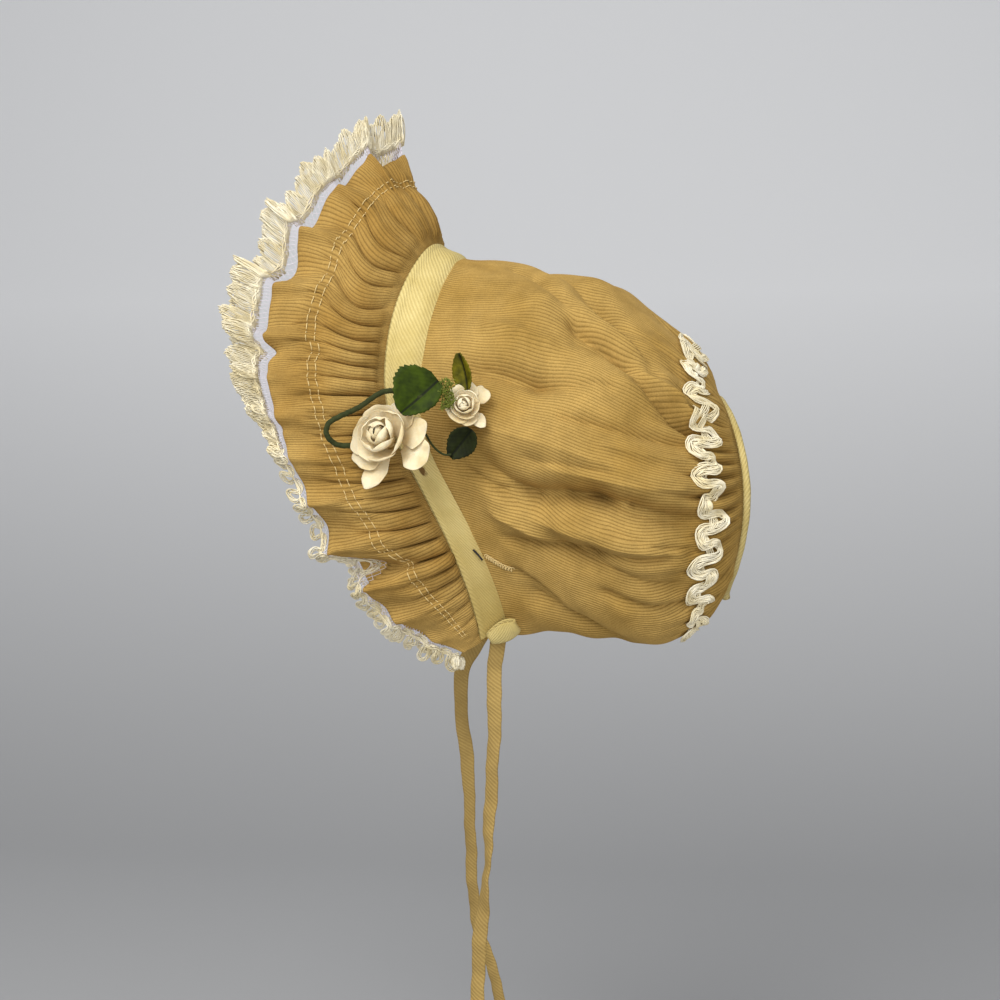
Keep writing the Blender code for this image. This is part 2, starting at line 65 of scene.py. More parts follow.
# Ties
# Two narrow strips of folded cotton tape, pressed flat, that hang from the neck corners. They are
# limp, turn a little on the way down, and end in a plain cut.
TIE_WIDTH = 4.8
TIE_THICKNESS = 1.0
TIE_STATIONS = 150
TIE_SIDES = 16
TIE_RIPPLE = 0.25
TIE_RIPPLE_LENGTH = 17.0
TIE_FINE_RIPPLE = 0.12
TIE_FINE_RIPPLE_LENGTH = 6.3
TIE_NARROWING = 0.06
TIE_NARROWING_LENGTH = 31.0
TIE_BOW = 0.1
TIE_LEFT_ROWS = (
    (32.2, 1.0, -110.5, 0),
    (31.6, 0.2, -116.0, 5),
    (31.0, -0.6, -121.0, 15),
    (31.0, -0.4, -134.0, 30),
    (31.0, -1.4, -155.0, 35),
    (31.0, -2.3, -169.0, 50),
    (31.0, -2.7, -179.0, 65),
    (31.0, -4.6, -197.0, 25),
    (31.0, -5.3, -211.0, 25),
    (31.0, -5.2, -220.0, 25),
)
TIE_RIGHT_ROWS = (
    (-32.3, -12.6, -114.4, 0),
    (-32.0, -16.4, -120.5, 0),
    (-32.0, -20.4, -128.0, 0),
    (-32.0, -20.6, -143.0, 5),
    (-32.0, -18.6, -159.0, 15),
    (-32.0, -17.6, -184.0, 35),
    (-32.0, -16.9, -200.0, 30),
    (-32.0, -15.0, -214.0, 35),
    (-32.0, -9.8, -228.0, 30),
    (-32.0, -8.1, -237.0, 30),
    (-32.0, -7.6, -242.0, 30),
)
TIE_COLUMNS = ("x", "y", "z", "twist")
# A wave texture at scale 1 repeats after this length
WAVE_PERIOD = 2 * math.pi / 20


def linear(code):
    """Linear colour of an sRGB hex value."""
    parts = [int(code[place:place + 2], 16) / 255 for place in (1, 3, 5)]
    red, green, blue = (
        ((part + 0.055) / 1.055) ** 2.4 if part > 0.04045 else part / 12.92 for part in parts
    )
    return red, green, blue, 1.0


def feed(tree, made, inputs):
    """Give a node's inputs plain values, or link them to the sockets that feed them."""
    for name, value in inputs.items():
        if isinstance(value, bpy.types.NodeSocket):
            tree.links.new(value, made.inputs[name])
        else:
            made.inputs[name].default_value = value


def add_node(tree, kind, inputs=None, **settings):
    """A node with its settings, its inputs given as values or as the sockets that feed them."""
    made = tree.nodes.new(kind)
    for name, value in settings.items():
        setattr(made, name, value)
    feed(tree, made, inputs or {})
    return made


def start_finish(name, roughness, sheen=0.0, sheen_tint="#ffffff", specular=0.5, colour="#ffffff"):
    """A material and its shader, with the values that are the same all over."""
    made = bpy.data.materials.new(name)
    made.use_nodes = True
    tree = made.node_tree
    shader = tree.nodes["Principled BSDF"]
    feed(tree, shader, {
        "Base Color": linear(colour), "Roughness": roughness, "Specular IOR Level": specular,
        "Sheen Weight": sheen, "Sheen Roughness": 0.45, "Sheen Tint": linear(sheen_tint),
    })
    return made, tree, shader


def mottled(tree, patch, spread, first, second, detail=4.0, roughness=0.5):
    """Two colours in cloudy patches of a size in mm, blended over a spread of the clouds."""
    place = add_node(tree, "ShaderNodeTexCoord")
    clouds = add_node(tree, "ShaderNodeTexNoise", {
        "Vector": place.outputs["Object"], "Scale": 1 / (patch * MM),
        "Detail": detail, "Roughness": roughness,
    })
    share = add_node(tree, "ShaderNodeMapRange", {
        "Value": clouds.outputs["Fac"], "From Min": spread[0], "From Max": spread[1],
    })
    blend = {"Factor": share.outputs["Result"], 6: linear(first), 7: linear(second)}
    return add_node(tree, "ShaderNodeMix", blend, data_type="RGBA").outputs[2]


def tape_finish(name, light, shade, worn, twill_pitch, twill_angle):
    """Cotton tape woven in fine twill: steep narrow ribs, worn pale and yellowed with age."""
    made, tree, shader = start_finish(name, 0.82, 0.08, light, 0.25)
    cloth_place = add_node(tree, "ShaderNodeAttribute", attribute_name="cloth")
    place = add_node(tree, "ShaderNodeTexCoord")
    turned = add_node(tree, "ShaderNodeMapping", {
        "Vector": cloth_place.outputs["Vector"], "Rotation": (0, 0, math.radians(twill_angle)),
    })
    twill = add_node(tree, "ShaderNodeTexWave", {
        "Vector": turned.outputs["Vector"], "Scale": WAVE_PERIOD / twill_pitch, "Distortion": 1.2,
        "Detail": 2.0, "Detail Scale": 1.5,
    })
    threads = add_node(tree, "ShaderNodeTexNoise", {
        "Vector": place.outputs["Object"], "Scale": 1 / (0.7 * MM), "Detail": 3.0,
    })
    ribs = add_node(tree, "ShaderNodeMapRange", {
        "Value": twill.outputs["Fac"], "From Min": 0.1, "From Max": 0.7,
        "To Min": 0.45, "To Max": 0.0,
    })
    aged = mottled(tree, 14, (0.38, 0.68), light, worn, 5.0, 0.6)
    mixed = {"Factor": ribs.outputs["Result"], 6: aged, 7: linear(shade)}
    ribbed = add_node(tree, "ShaderNodeMix", mixed, data_type="RGBA")
    sum_of_both = {0: twill.outputs["Fac"], 1: threads.outputs["Fac"]}
    height = add_node(tree, "ShaderNodeMath", sum_of_both, operation="ADD")
    bump = add_node(tree, "ShaderNodeBump", {
        "Height": height.outputs["Value"], "Strength": 0.5, "Distance": 0.22 * MM,
    })
    feed(tree, shader, {"Base Color": ribbed.outputs[2], "Normal": bump.outputs["Normal"]})
    return made


def spline(knots, values, at):
    """Smooth curve through table values, each knot's slope taken from its neighbours."""
    knots = np.asarray(knots, float)
    values = np.asarray(values, float)
    slopes = np.gradient(values, knots)
    cell = np.clip(np.searchsorted(knots, at, side="right") - 1, 0, len(knots) - 2)
    width = knots[cell + 1] - knots[cell]
    t = np.clip((at - knots[cell]) / width, 0.0, 1.0)
    rise = (1 - t) ** 2 * (1 + 2 * t) * values[cell] + t ** 2 * (3 - 2 * t) * values[cell + 1]
    return rise + width * t * (1 - t) * ((1 - t) * slopes[cell] - t * slopes[cell + 1])


def smooth_route(rows, count):
    """Evenly counted points on the smooth curve through the rows of a table."""
    knots = np.arange(len(rows), dtype=float)
    at = np.linspace(0.0, len(rows) - 1.0, count)
    return np.stack([spline(knots, column, at) for column in zip(*rows)], axis=-1)


def unit(vectors):
    return vectors / np.maximum(np.linalg.norm(vectors, axis=-1, keepdims=True), 1e-9)


def new_piece(name, points, faces, finish, slot, cloth=None, rib=None, replaced=None):
    """A smooth-shaded mesh of points in millimetres that rides on the bonnet's one body.

    Its places on the cloth are given for one side, and serve both. It may replace a plain solid.
    """
    mesh = bpy.data.meshes.new(name)
    mesh.from_pydata((points.reshape(-1, 3) * MM).tolist(), [], faces)
    mesh.shade_smooth()
    if cloth is not None:
        places = np.stack(np.broadcast_arrays(*cloth), axis=-1).reshape(-1, 2)
        flat = np.zeros((len(mesh.vertices), 3))
        flat[:, :2] = np.tile(places, (len(flat) // len(places), 1))
        layer = mesh.attributes.new("cloth", "FLOAT_VECTOR", "POINT")
        layer.data.foreach_set("vector", flat.ravel())
    if rib is not None:
        layer = mesh.attributes.new("rib", "FLOAT", "POINT")
        layer.data.foreach_set("value", rib.ravel().astype(np.float32))
    mesh.materials.append(finish)
    made = bpy.data.objects.new(name, mesh)
    bpy.context.scene.collection.objects.link(made)
    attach(made, "root")
    if replaced:
        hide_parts(replaced)
    return made


def grid_faces(rows, columns, start=0, wrap=False, flip=False):
    """Quads of a grid of points that lie row by row, joined round its columns if it wraps."""
    across = np.arange(columns if wrap else columns - 1)
    row, column = np.meshgrid(np.arange(rows - 1), across, indexing="ij")
    onward = (column + 1) % columns
    corners = [row * columns + column, row * columns + onward,
               (row + 1) * columns + onward, (row + 1) * columns + column]
    quads = np.stack(corners[::-1] if flip else corners, axis=-1).reshape(-1, 4) + start
    return quads.tolist()


def frames_along(routes):
    """Direction of each route and a side vector that turns with it as little as it can."""
    ahead = unit(np.gradient(routes, axis=1))
    side = np.empty_like(ahead)
    side[:, 0] = unit(np.cross(ahead[:, 0], (0.31, 0.52, 0.79)))
    for step in range(1, routes.shape[1]):
        before = side[:, step - 1]
        here = ahead[:, step]
        side[:, step] = unit(before - here * np.sum(before * here, axis=-1, keepdims=True))
    return ahead, side


def strands(routes, radius, sides):
    """Points and faces of round threads with closed ends, along routes of one count of points."""
    routes = np.asarray(routes, float)
    count, length = routes.shape[:2]
    ahead, side = frames_along(routes)
    angle = np.arange(sides) * 2 * np.pi / sides
    radius = np.broadcast_to(np.asarray(radius, float), (count, length))[..., None, None]
    up = np.cross(ahead, side)
    ring = side[..., None, :] * np.cos(angle)[:, None] + up[..., None, :] * np.sin(angle)[:, None]
    points = routes[..., None, :] + ring * radius
    faces = []
    for thread in range(count):
        start = thread * length * sides
        faces += grid_faces(length, sides, start, wrap=True)
        faces.append(list(range(start + sides - 1, start - 1, -1)))
        last = start + (length - 1) * sides
        faces.append(list(range(last, last + sides)))
    return points.reshape(-1, 3), faces


def bell(distance, width):
    """Soft bump: 1 at no distance, and nearly 0 at twice its width."""
    return np.exp(-((distance / width) ** 2))


# The ties have been handled most, so they are darker and duller than the band
tie_tape = tape_finish("aged_cotton_tie_tape", "#ab8f52", "#8b6f3a", "#937a45", 1.0, 58)


def make_tie(name, node, rows, seed):
    """Flat tape along the rows of its table, with soft ripples and slightly rolled edges."""
    tie = dict(zip(TIE_COLUMNS, smooth_route(rows, TIE_STATIONS).T))
    centre = np.stack([tie["x"], tie["y"], tie["z"]], axis=-1)
    run = np.concatenate([[0], np.cumsum(np.linalg.norm(np.diff(centre, axis=0), axis=1))])
    twist = np.radians(tie["twist"])
    across = np.stack([np.sin(twist), np.cos(twist), np.zeros_like(twist)], axis=-1)
    ahead = unit(np.gradient(centre, axis=0))
    across = unit(across - ahead * np.sum(across * ahead, axis=-1, keepdims=True))
    facing = np.cross(ahead, across)
    angle = np.arange(TIE_SIDES) * 2 * np.pi / TIE_SIDES
    wide = np.sign(np.cos(angle)) * np.abs(np.cos(angle)) ** 0.6 * TIE_WIDTH / 2
    thick = np.sign(np.sin(angle)) * np.abs(np.sin(angle)) ** 0.7 * TIE_THICKNESS / 2
    ripple = TIE_RIPPLE * np.sin(2 * np.pi * run / TIE_RIPPLE_LENGTH + seed)
    ripple = ripple + TIE_FINE_RIPPLE * np.sin(2 * np.pi * run / TIE_FINE_RIPPLE_LENGTH + 2 * seed)
    bow = ripple[:, None] + TIE_BOW * np.cos(2 * wide / TIE_WIDTH * np.pi) + thick
    narrow = 1 - TIE_NARROWING * np.sin(2 * np.pi * run / TIE_NARROWING_LENGTH + seed)
    points = centre[:, None, :] + across[:, None, :] * (wide * narrow[:, None])[..., None]
    points = points + facing[:, None, :] * bow[..., None]
    faces = grid_faces(TIE_STATIONS, TIE_SIDES, wrap=True)
    faces.append(list(range(TIE_SIDES - 1, -1, -1)))
    last = (TIE_STATIONS - 1) * TIE_SIDES
    faces.append(list(range(last, last + TIE_SIDES)))
    cloth = (wide[None, :], run[:, None])
    made = new_piece(name, points, faces, tie_tape, "bias_tape", cloth, replaced=node)


make_tie("left_tie_tape", "tie_left", TIE_LEFT_ROWS, 0.4)
make_tie("right_tie_tape", "tie_right", TIE_RIGHT_ROWS, 1.9)

# Crown
# One piece of fine corduroy, gathered into the back disc and caught under the band at the face.
# Its ribs run from front to back, and their cut pile takes a soft sheen.
CLOTH_WALL = 1.3
FACE_COLUMNS = ("seam_x", "seam_y", "seam_z", "edge_x", "edge_y", "edge_z",
                "lace_x", "lace_y", "lace_z")
FACE_ROWS = (
    (0, -21, 5, 0, -35, 34, 0, -36, 49),
    (18, -22, 2, 19, -45, 28, 20, -49, 39),
    (32, -25, -10, 38, -55, 6, 40, -65, 14),
    (41, -28, -25, 53, -62, -20, 56, -74, -15),
    (46, -29, -40, 60, -61, -39, 64, -71, -37),
    (47, -26, -54, 61, -58, -55, 63, -65, -53),
    (45, -19, -69, 58, -51, -73, 57, -56, -74),
    (42, -12, -83, 52, -41, -91, 50, -47, -93),
    (38, -6, -97, 44, -27, -106, 42, -31, -111),
    (33, -2, -111, 35, -9, -115, 34, -9, -122),
)
DISC_CENTRE_Y = 70.0
DISC_CENTRE_Z = -71.0
DISC_RADIUS = 32.0
DISC_END_ANGLE = 156.0
DISC_BEND = 7.0
PUFF_ROWS = ((0.0, 0.0), (0.10, 1.5), (0.25, 7.0), (0.40, 12.0), (0.55, 15.0), (0.70, 16.5),
             (0.83, 12.5), (0.92, 7.5), (1.0, 0.0))
PUFF_AXIS_Z = -50.0
BACK_PUFF = 0.6
NECK_TURN_ARC = 0.7
NECK_TURN_MOST = 0.7
NECK_TURN_FRONT = 1.1
NECK_TURN_FADE = 1.5
HEM_POWER = 10
HEM_ROUNDING = 0.6
SWAY = 24.0
DROOP = 7.0
FULL_WIDTH = 92.0
LEVEL_SHARE = 0.36
DEPTH = 115.0
LOWEST_SHARE = 1.1
HANG_BACK_Y = 55.0
HANG_FRONT_Y = -10.0
ARC_LENGTH = 165.0
DEPTH_LENGTH = 105.0
LAST_ARC = 0.995
LAST_ACROSS = 0.996
NORMAL_STEP = 0.004
FOLD_COLUMNS = ("arc_start", "depth_start", "arc_end", "depth_end", "width", "height")
FOLD_ROWS = (
    (0.02, 0.36, 0.18, 0.62, 5.0, -2.0),
    (0.18, 0.62, 0.27, 0.77, 4.5, -2.2),
    (0.27, 0.55, 0.30, 0.73, 5.0, -1.8),
    (0.35, 0.61, 0.33, 0.82, 5.0, 2.0),
    (0.37, 0.27, 0.38, 0.48, 6.0, -1.8),
    (0.58, 0.24, 0.62, 0.36, 5.5, -2.4),
    (0.62, 0.36, 0.58, 0.57, 5.5, -2.8),
    (0.58, 0.57, 0.60, 0.83, 5.5, -2.6),
    (0.50, 0.30, 0.51, 0.78, 8.0, 1.6),
    (0.66, 0.36, 0.66, 0.80, 5.5, 1.6),
    (0.70, 0.42, 0.74, 0.80, 5.0, -2.4),
    (0.87, 0.25, 0.93, 0.56, 5.0, -2.4),
    (-0.06, 0.30, -0.20, 0.74, 6.0, -2.2),
    (-0.30, 0.26, -0.36, 0.60, 7.0, -2.2),
    (-0.44, 0.45, -0.46, 0.82, 6.0, 1.8),
    (-0.56, 0.22, -0.58, 0.80, 6.0, -2.6),
    (-0.70, 0.30, -0.73, 0.82, 5.5, -2.4),
    (-0.86, 0.22, -0.91, 0.60, 5.0, -2.4),
)
# Fine wrinkles that run into the main folds, in the same columns
WRINKLE_ROWS = (
    (0.10, 0.30, 0.20, 0.50, 3.0, -1.3),
    (0.24, 0.54, 0.29, 0.70, 2.6, -2.6),
    (0.20, 0.58, 0.28, 0.80, 4.0, 1.8),
    (0.323, 0.74, 0.378, 0.87, 2.6, -3.4),
    (0.295, 0.74, 0.35, 0.88, 3.0, 2.0),
    (0.29, 0.28, 0.30, 0.46, 3.0, 1.2),
    (0.383, 0.22, 0.383, 0.43, 4.0, -1.9),
    (0.383, 0.43, 0.353, 0.64, 3.6, -1.6),
    (0.44, 0.50, 0.42, 0.84, 2.6, -1.5),
    (0.47, 0.62, 0.46, 0.86, 2.0, 1.1),
    (0.54, 0.40, 0.52, 0.62, 2.6, -1.1),
    (0.60, 0.17, 0.64, 0.30, 2.4, -1.3),
    (0.622, 0.26, 0.587, 0.48, 2.6, -1.4),
    (0.587, 0.48, 0.567, 0.69, 2.2, -1.6),
    (0.567, 0.69, 0.582, 0.84, 2.2, -2.0),
    (0.548, 0.46, 0.528, 0.82, 4.0, 1.4),
    (0.63, 0.60, 0.655, 0.84, 2.2, -1.4),
    (0.68, 0.22, 0.70, 0.40, 3.0, 1.1),
    (0.736, 0.23, 0.691, 0.52, 2.8, -2.0),
    (0.691, 0.52, 0.671, 0.76, 2.6, -2.2),
    (0.65, 0.44, 0.64, 0.74, 3.4, 1.4),
    (0.78, 0.55, 0.80, 0.84, 2.4, -1.7),
    (0.82, 0.20, 0.86, 0.34, 2.4, -1.4),
    (-0.14, 0.50, -0.24, 0.78, 2.6, -1.6),
    (-0.38, 0.50, -0.42, 0.80, 2.4, -1.5),
    (-0.50, 0.30, -0.52, 0.60, 3.0, 1.3),
    (-0.64, 0.40, -0.66, 0.80, 2.4, -1.7),
    (-0.80, 0.40, -0.83, 0.80, 2.6, -1.5),
)
CREASE_SHARPNESS = 0.3
CREASE_SHARE = 0.6
CRUMPLE_BROAD = 0.7
CRUMPLE_SMALL = 0.35
SLACK_BROAD = 1.3
SLACK_SMALL = 0.5
# Painted shade: the crown's colour darkens in its fold troughs, by up to this share at this depth in
# mm
FOLD_PAINTED_SHADE = 0.25
FOLD_PAINTED_SHADE_DEPTH = 3.5
# Depth on the crown, and height of the gathers there
GATHER_ROWS = ((0.0, 0.0), (0.70, 0.0), (0.82, 0.35), (0.88, 1.2), (0.93, 2.0), (0.97, 1.5),
               (0.99, 0.4), (1.0, 0.0))
GATHERS = 46
# The crown's cloth is about 310 mm round, so these ribs lie 0.9 mm apart
CROWN_RIBS = 345
RIB_COLUMNS = 3
RIB_LIFTS = (-0.13, 0.065, 0.065)
# Shade of each rib column: 0 in the groove, which the finish fills with painted shade
RIB_SHADES = (0.0, 1.0, 1.0)
CROWN_STEPS = 78
EDGE_CURL = (0.65, 0.35, -0.35, -0.65)


def face_loop(prefix, arc):
    """Point on the seam, edge or lace loop: 0 at the top, 1 at the left corner, -1 at the right."""
    knots = np.linspace(-1.0, 1.0, 2 * len(FACE_ROWS) - 1)
    sides = []
    for axis in "xyz":
        place = FACE_COLUMNS.index(f"{prefix}_{axis}")
        half = [row[place] for row in FACE_ROWS]
        mirrored = [-value if axis == "x" else value for value in half[:0:-1]]
        sides.append(spline(knots, mirrored + half, arc))
    return np.stack(sides, axis=-1)


def disc_loop(arc, radius=DISC_RADIUS):
    """Point on the rim of the back disc, which bends forward at its top and bottom."""
    angle = np.radians(DISC_END_ANGLE) * arc
    x = radius * np.sin(angle)
    z = DISC_CENTRE_Z + radius * np.cos(angle)
    return np.stack([x, DISC_CENTRE_Y - DISC_BEND * np.cos(angle) ** 2, z], axis=-1)


def hang(points):
    """Draw the right side forward and let it sag, most at the neck and least at the back."""
    x, y, z = points[..., 0], points[..., 1], points[..., 2]
    down = np.clip(-z / DEPTH, 0.0, LOWEST_SHARE)
    forward = np.clip((HANG_BACK_Y - y) / (HANG_BACK_Y - HANG_FRONT_Y), 0.0, 1.0)
    share = (LEVEL_SHARE - x / FULL_WIDTH) * down * forward
    return np.stack([x, y - SWAY * share, z - DROOP * share], axis=-1)


def fade_to_neck(arc):
    """1 along most of the arch, falling to 0 at both neck corners."""
    return 1 - np.abs(arc) ** HEM_POWER


def crown_base(arc, depth):
    """Smooth crown: straight lines from seam to disc, puffed outwards, turned in at the neck."""
    arc, depth = np.broadcast_arrays(np.asarray(arc, float), np.asarray(depth, float))
    share = depth[..., None]
    line = (1 - share) * face_loop("seam", arc) + share * disc_loop(arc)
    outward = np.stack([line[..., 0], np.zeros_like(arc), line[..., 2] - PUFF_AXIS_Z], axis=-1)
    low = np.clip((np.abs(arc) - NECK_TURN_ARC) / (1 - NECK_TURN_ARC), 0.0, 1.0)
    turned = np.clip(NECK_TURN_FRONT - NECK_TURN_FADE * depth, 0.0, NECK_TURN_MOST)
    outward[..., 2] *= 1 - low * turned
    depths, heights = zip(*PUFF_ROWS)
    hem = np.clip(fade_to_neck(arc), 0.0, 1.0) ** HEM_ROUNDING
    puff = spline(depths, heights, depth) * hem * (1 + BACK_PUFF * arc ** 4 * depth)
    return hang(line + unit(outward) * puff[..., None])


def normals_of(base, arc, across):
    """Unit normals of a base surface that runs back from the seam, by small steps along it."""
    along_arc = base(arc + NORMAL_STEP, across) - base(arc - NORMAL_STEP, across)
    along_across = base(arc, across + NORMAL_STEP) - base(arc, across - NORMAL_STEP)
    return unit(np.cross(along_arc, along_across))


def crown_surface(arc, depth, lift):
    """Crown point, lifted off the middle of the cloth along the smooth normal."""
    arc, depth, lift = np.broadcast_arrays(arc, depth, lift)
    arc = np.clip(arc, -LAST_ARC, LAST_ARC)
    inside = np.clip(depth, 1 - LAST_ACROSS, LAST_ACROSS)
    return crown_base(arc, depth) + normals_of(crown_base, arc, inside) * lift[..., None]


def crease_height(rows, arc, depth):
    """Height of a table's straight creases at a place on the crown, in millimetres.

    Each is a soft trough or ridge with a sharper line along its middle.
    """
    across = arc * ARC_LENGTH
    back = depth * DEPTH_LENGTH
    height = np.zeros(np.broadcast(arc, depth).shape)
    for row in rows:
        fold = dict(zip(FOLD_COLUMNS, row))
        start = np.array([fold["arc_start"] * ARC_LENGTH, fold["depth_start"] * DEPTH_LENGTH])
        run = np.array([fold["arc_end"] * ARC_LENGTH, fold["depth_end"] * DEPTH_LENGTH]) - start
        along = ((across - start[0]) * run[0] + (back - start[1]) * run[1]) / (run @ run)
        along = np.clip(along, 0.0, 1.0)
        distance = np.hypot(across - start[0] - along * run[0], back - start[1] - along * run[1])
        sharp = np.exp(-distance / (CREASE_SHARPNESS * fold["width"]))
        height = height + fold["height"] * (bell(distance, fold["width"]) + CREASE_SHARE * sharp)
    return height


def pleat(turns):
    """Cross-section of gathered cloth, -1 to 1: round on its ridges and sharp in its valleys."""
    return 2 * np.abs(np.cos(turns / 2)) ** 0.75 - 1


def cloth_drift(arc, depth):
    """Sideways pull of the cloth, which bends its ribs round the folds."""
    hold = np.sin(np.pi * np.clip(depth, 0, 1)) * (1 - arc ** 2)
    drift = 0.014 * np.sin(6.5 * depth + 4.5 * arc + 0.6)
    drift = drift + 0.006 * np.sin(15.0 * depth - 11.0 * arc)
    return hold * (drift + 0.003 * np.sin(31.0 * depth + 19.0 * arc))


def crumple(arc, depth):
    """Shallow dents that the limp cloth keeps from being folded away, none at its sewn edges."""
    broad = np.sin(33.0 * arc + 6.0 * depth + 1.1) * np.sin(14.0 * depth - 9.0 * arc + 0.4)
    small = np.sin(57.0 * arc - 11.0 * depth) * np.sin(27.0 * depth + 13.0 * arc)
    return np.sin(np.pi * np.clip(depth, 0, 1)) * (CRUMPLE_BROAD * broad + CRUMPLE_SMALL * small)


def crown_lift(arc, depth):
    """Folds, wrinkles and back gathers of the crown. Each gather starts at its own place."""
    height = crease_height(FOLD_ROWS, arc, depth) + crease_height(WRINKLE_ROWS, arc, depth)
    height = height + crumple(arc, depth)
    depths, heights = zip(*GATHER_ROWS)
    late = 0.05 * np.sin(37.0 * arc + 1.0) + 0.03 * np.sin(71.0 * arc)
    gather = np.interp(depth + late * (1 - depth) * 4, depths, heights)
    turns = np.pi * GATHERS * arc + 1.4 * np.sin(13.0 * arc + 0.5) + 0.9 * np.sin(29.0 * arc)
    turns = turns + 0.8 * np.sin(9.0 * depth + 17.0 * arc)
    uneven = 1 + 0.3 * np.sin(23.0 * arc + 2.0)
    slack = SLACK_BROAD * np.sin(7.0 * arc + 9.0 * depth) * np.sin(5.0 * depth + 11.0 * arc)
    small = np.sin(23.0 * arc + 6.0 * depth + 1.0)
    slack = slack + SLACK_SMALL * small * np.sin(9.0 * depth - 5.0 * arc)
    slack = slack * np.sin(np.pi * np.clip(depth, 0, 1))
    return height + (gather * pleat(turns) * uneven + slack) * fade_to_neck(arc)


def corduroy_finish(name, ridge, groove_shade_colour, stain, stain_spread):
    """Fine cotton corduroy: pale worn pile, painted shade in gaps and folds, brown age stains."""
    made, tree, shader = start_finish(name, 0.9, 0.1, ridge, 0.15)
    place = add_node(tree, "ShaderNodeTexCoord")
    rib = add_node(tree, "ShaderNodeAttribute", attribute_name="rib")
    # Real pile is 0.2 mm thick, too fine to show, so it is drawn twice as coarse
    pile = add_node(tree, "ShaderNodeTexNoise", {
        "Vector": place.outputs["Object"], "Scale": 1 / (0.45 * MM),
        "Detail": 3.0, "Roughness": 0.7,
    })
    worn = add_node(tree, "ShaderNodeTexNoise", {
        "Vector": place.outputs["Object"], "Scale": 1 / (6 * MM), "Detail": 4.0, "Roughness": 0.6,
    })
    # Painted shade: rib gaps and fold troughs, low in the rib attribute, take the dark groove colour
    painted_gap_shade = add_node(tree, "ShaderNodeMapRange", {
        "Value": rib.outputs["Fac"], "From Min": 0.0, "From Max": 0.8, "To Min": 0.6, "To Max": 0.0,
    })
    grain = add_node(tree, "ShaderNodeMapRange", {
        "Value": pile.outputs["Fac"], "From Min": 0.3, "From Max": 0.7,
        "To Min": 0.3, "To Max": -0.05,
    })
    sum_of_both = {0: painted_gap_shade.outputs["Result"], 1: grain.outputs["Result"]}
    shade = add_node(tree, "ShaderNodeMath", sum_of_both, operation="ADD", use_clamp=True)
    body = mottled(tree, 28, stain_spread, ridge, stain, roughness=0.55)
    mixed = {"Factor": shade.outputs["Value"], 6: body, 7: linear(groove_shade_colour)}
    ribbed = add_node(tree, "ShaderNodeMix", mixed, data_type="RGBA")
    faded = add_node(tree, "ShaderNodeMapRange", {
        "Value": worn.outputs["Fac"], "From Min": 0.3, "From Max": 0.7,
        "To Min": 0.88, "To Max": 1.1,
    })
    bright = add_node(tree, "ShaderNodeHueSaturation", {
        "Color": ribbed.outputs[2], "Value": faded.outputs["Result"],
    })
    bump = add_node(tree, "ShaderNodeBump", {
        "Height": pile.outputs["Fac"], "Strength": 0.45, "Distance": 0.15 * MM,
    })
    feed(tree, shader, {"Base Color": bright.outputs["Color"], "Normal": bump.outputs["Normal"]})
    return made


def rib_columns(count):
    """Place across the cloth, height and shade of each column of points on a number of ribs."""
    steps = np.arange(count * RIB_COLUMNS + 1)
    lifts = np.array(RIB_LIFTS)[steps % RIB_COLUMNS]
    shades = np.array(RIB_SHADES)[steps % RIB_COLUMNS]
    return steps / (count * RIB_COLUMNS), lifts, shades


# The third colour is the painted shade of the rib gaps and fold troughs
crown_corduroy = corduroy_finish("pinwale_corduroy", "#b69453", "#6a5320", "#9f7d3d", (0.40, 0.68))
share, rib_lift, rib_shade = rib_columns(CROWN_RIBS)
arc_line = 2 * share - 1
arc_line = np.concatenate([[-1, -1, -1], arc_line, [1, 1, 1]])
curl = np.array(EDGE_CURL)
wall = np.concatenate([curl[:0:-1], np.full(len(share), curl[0]), curl[1:]])
rib_lift = np.pad(rib_lift, 3)
rib_shade = np.pad(rib_shade, 3, constant_values=0.5)
depth_line = np.concatenate([[0, 0], np.linspace(0, 1, CROWN_STEPS), [1, 1]])
crown_arc, crown_depth = np.meshgrid(arc_line, depth_line)
wall_down = np.concatenate([[-curl[0], 0], np.full(CROWN_STEPS, curl[0]), [0, -curl[0]]])
crown_wall = np.minimum(wall[None, :], wall_down[:, None])
crown_arc = crown_arc + cloth_drift(crown_arc, crown_depth)
crown_folds = crown_lift(crown_arc, crown_depth)
crown_points = crown_surface(crown_arc, crown_depth, crown_folds + crown_wall + rib_lift[None, :])
# Painted shade in the rib grooves and, deeper still, in the fold troughs
crown_shade = rib_shade[None, :] * (1 - FOLD_PAINTED_SHADE * np.clip(-crown_folds / FOLD_PAINTED_SHADE_DEPTH, 0, 1))
crown_cloth = new_piece(
    "crown_cloth", crown_points, grid_faces(*crown_arc.shape), crown_corduroy, "corduroy",
    rib=crown_shade, replaced="crown",
)

# Inside of the crown
# The plain back of the same cloth, unlined, where the pile's weft shows only as a flat twill.
INSIDE_COLUMNS = 420
INSIDE_ROWS = 60

crown_back = tape_finish("corduroy_back_weave", "#b28b4a", "#8f6d34", "#a07a3a", 1.1, 12)
inside_arc, inside_depth = np.meshgrid(
    np.linspace(-1, 1, INSIDE_COLUMNS), np.linspace(0, 1, INSIDE_ROWS),
)
inside_lift = crown_lift(inside_arc, inside_depth) - CLOTH_WALL / 2
inside_points = crown_surface(inside_arc, inside_depth, inside_lift)
crown_inside = new_piece(
    "crown_inside", inside_points, grid_faces(INSIDE_ROWS, INSIDE_COLUMNS, flip=True),
    crown_back, "corduroy", (inside_arc * ARC_LENGTH, inside_depth * DEPTH_LENGTH),
)

# Back disc
# A round panel of the same corduroy, slightly domed, cut off straight at the neck. The crown is
# gathered round it.
DISC_DOME = 1.0
DISC_BEHIND = 0.3
DISC_INSET = 1.0
DISC_RIBS = 68
DISC_STEPS = 44
DISC_RIPPLE = 0.5


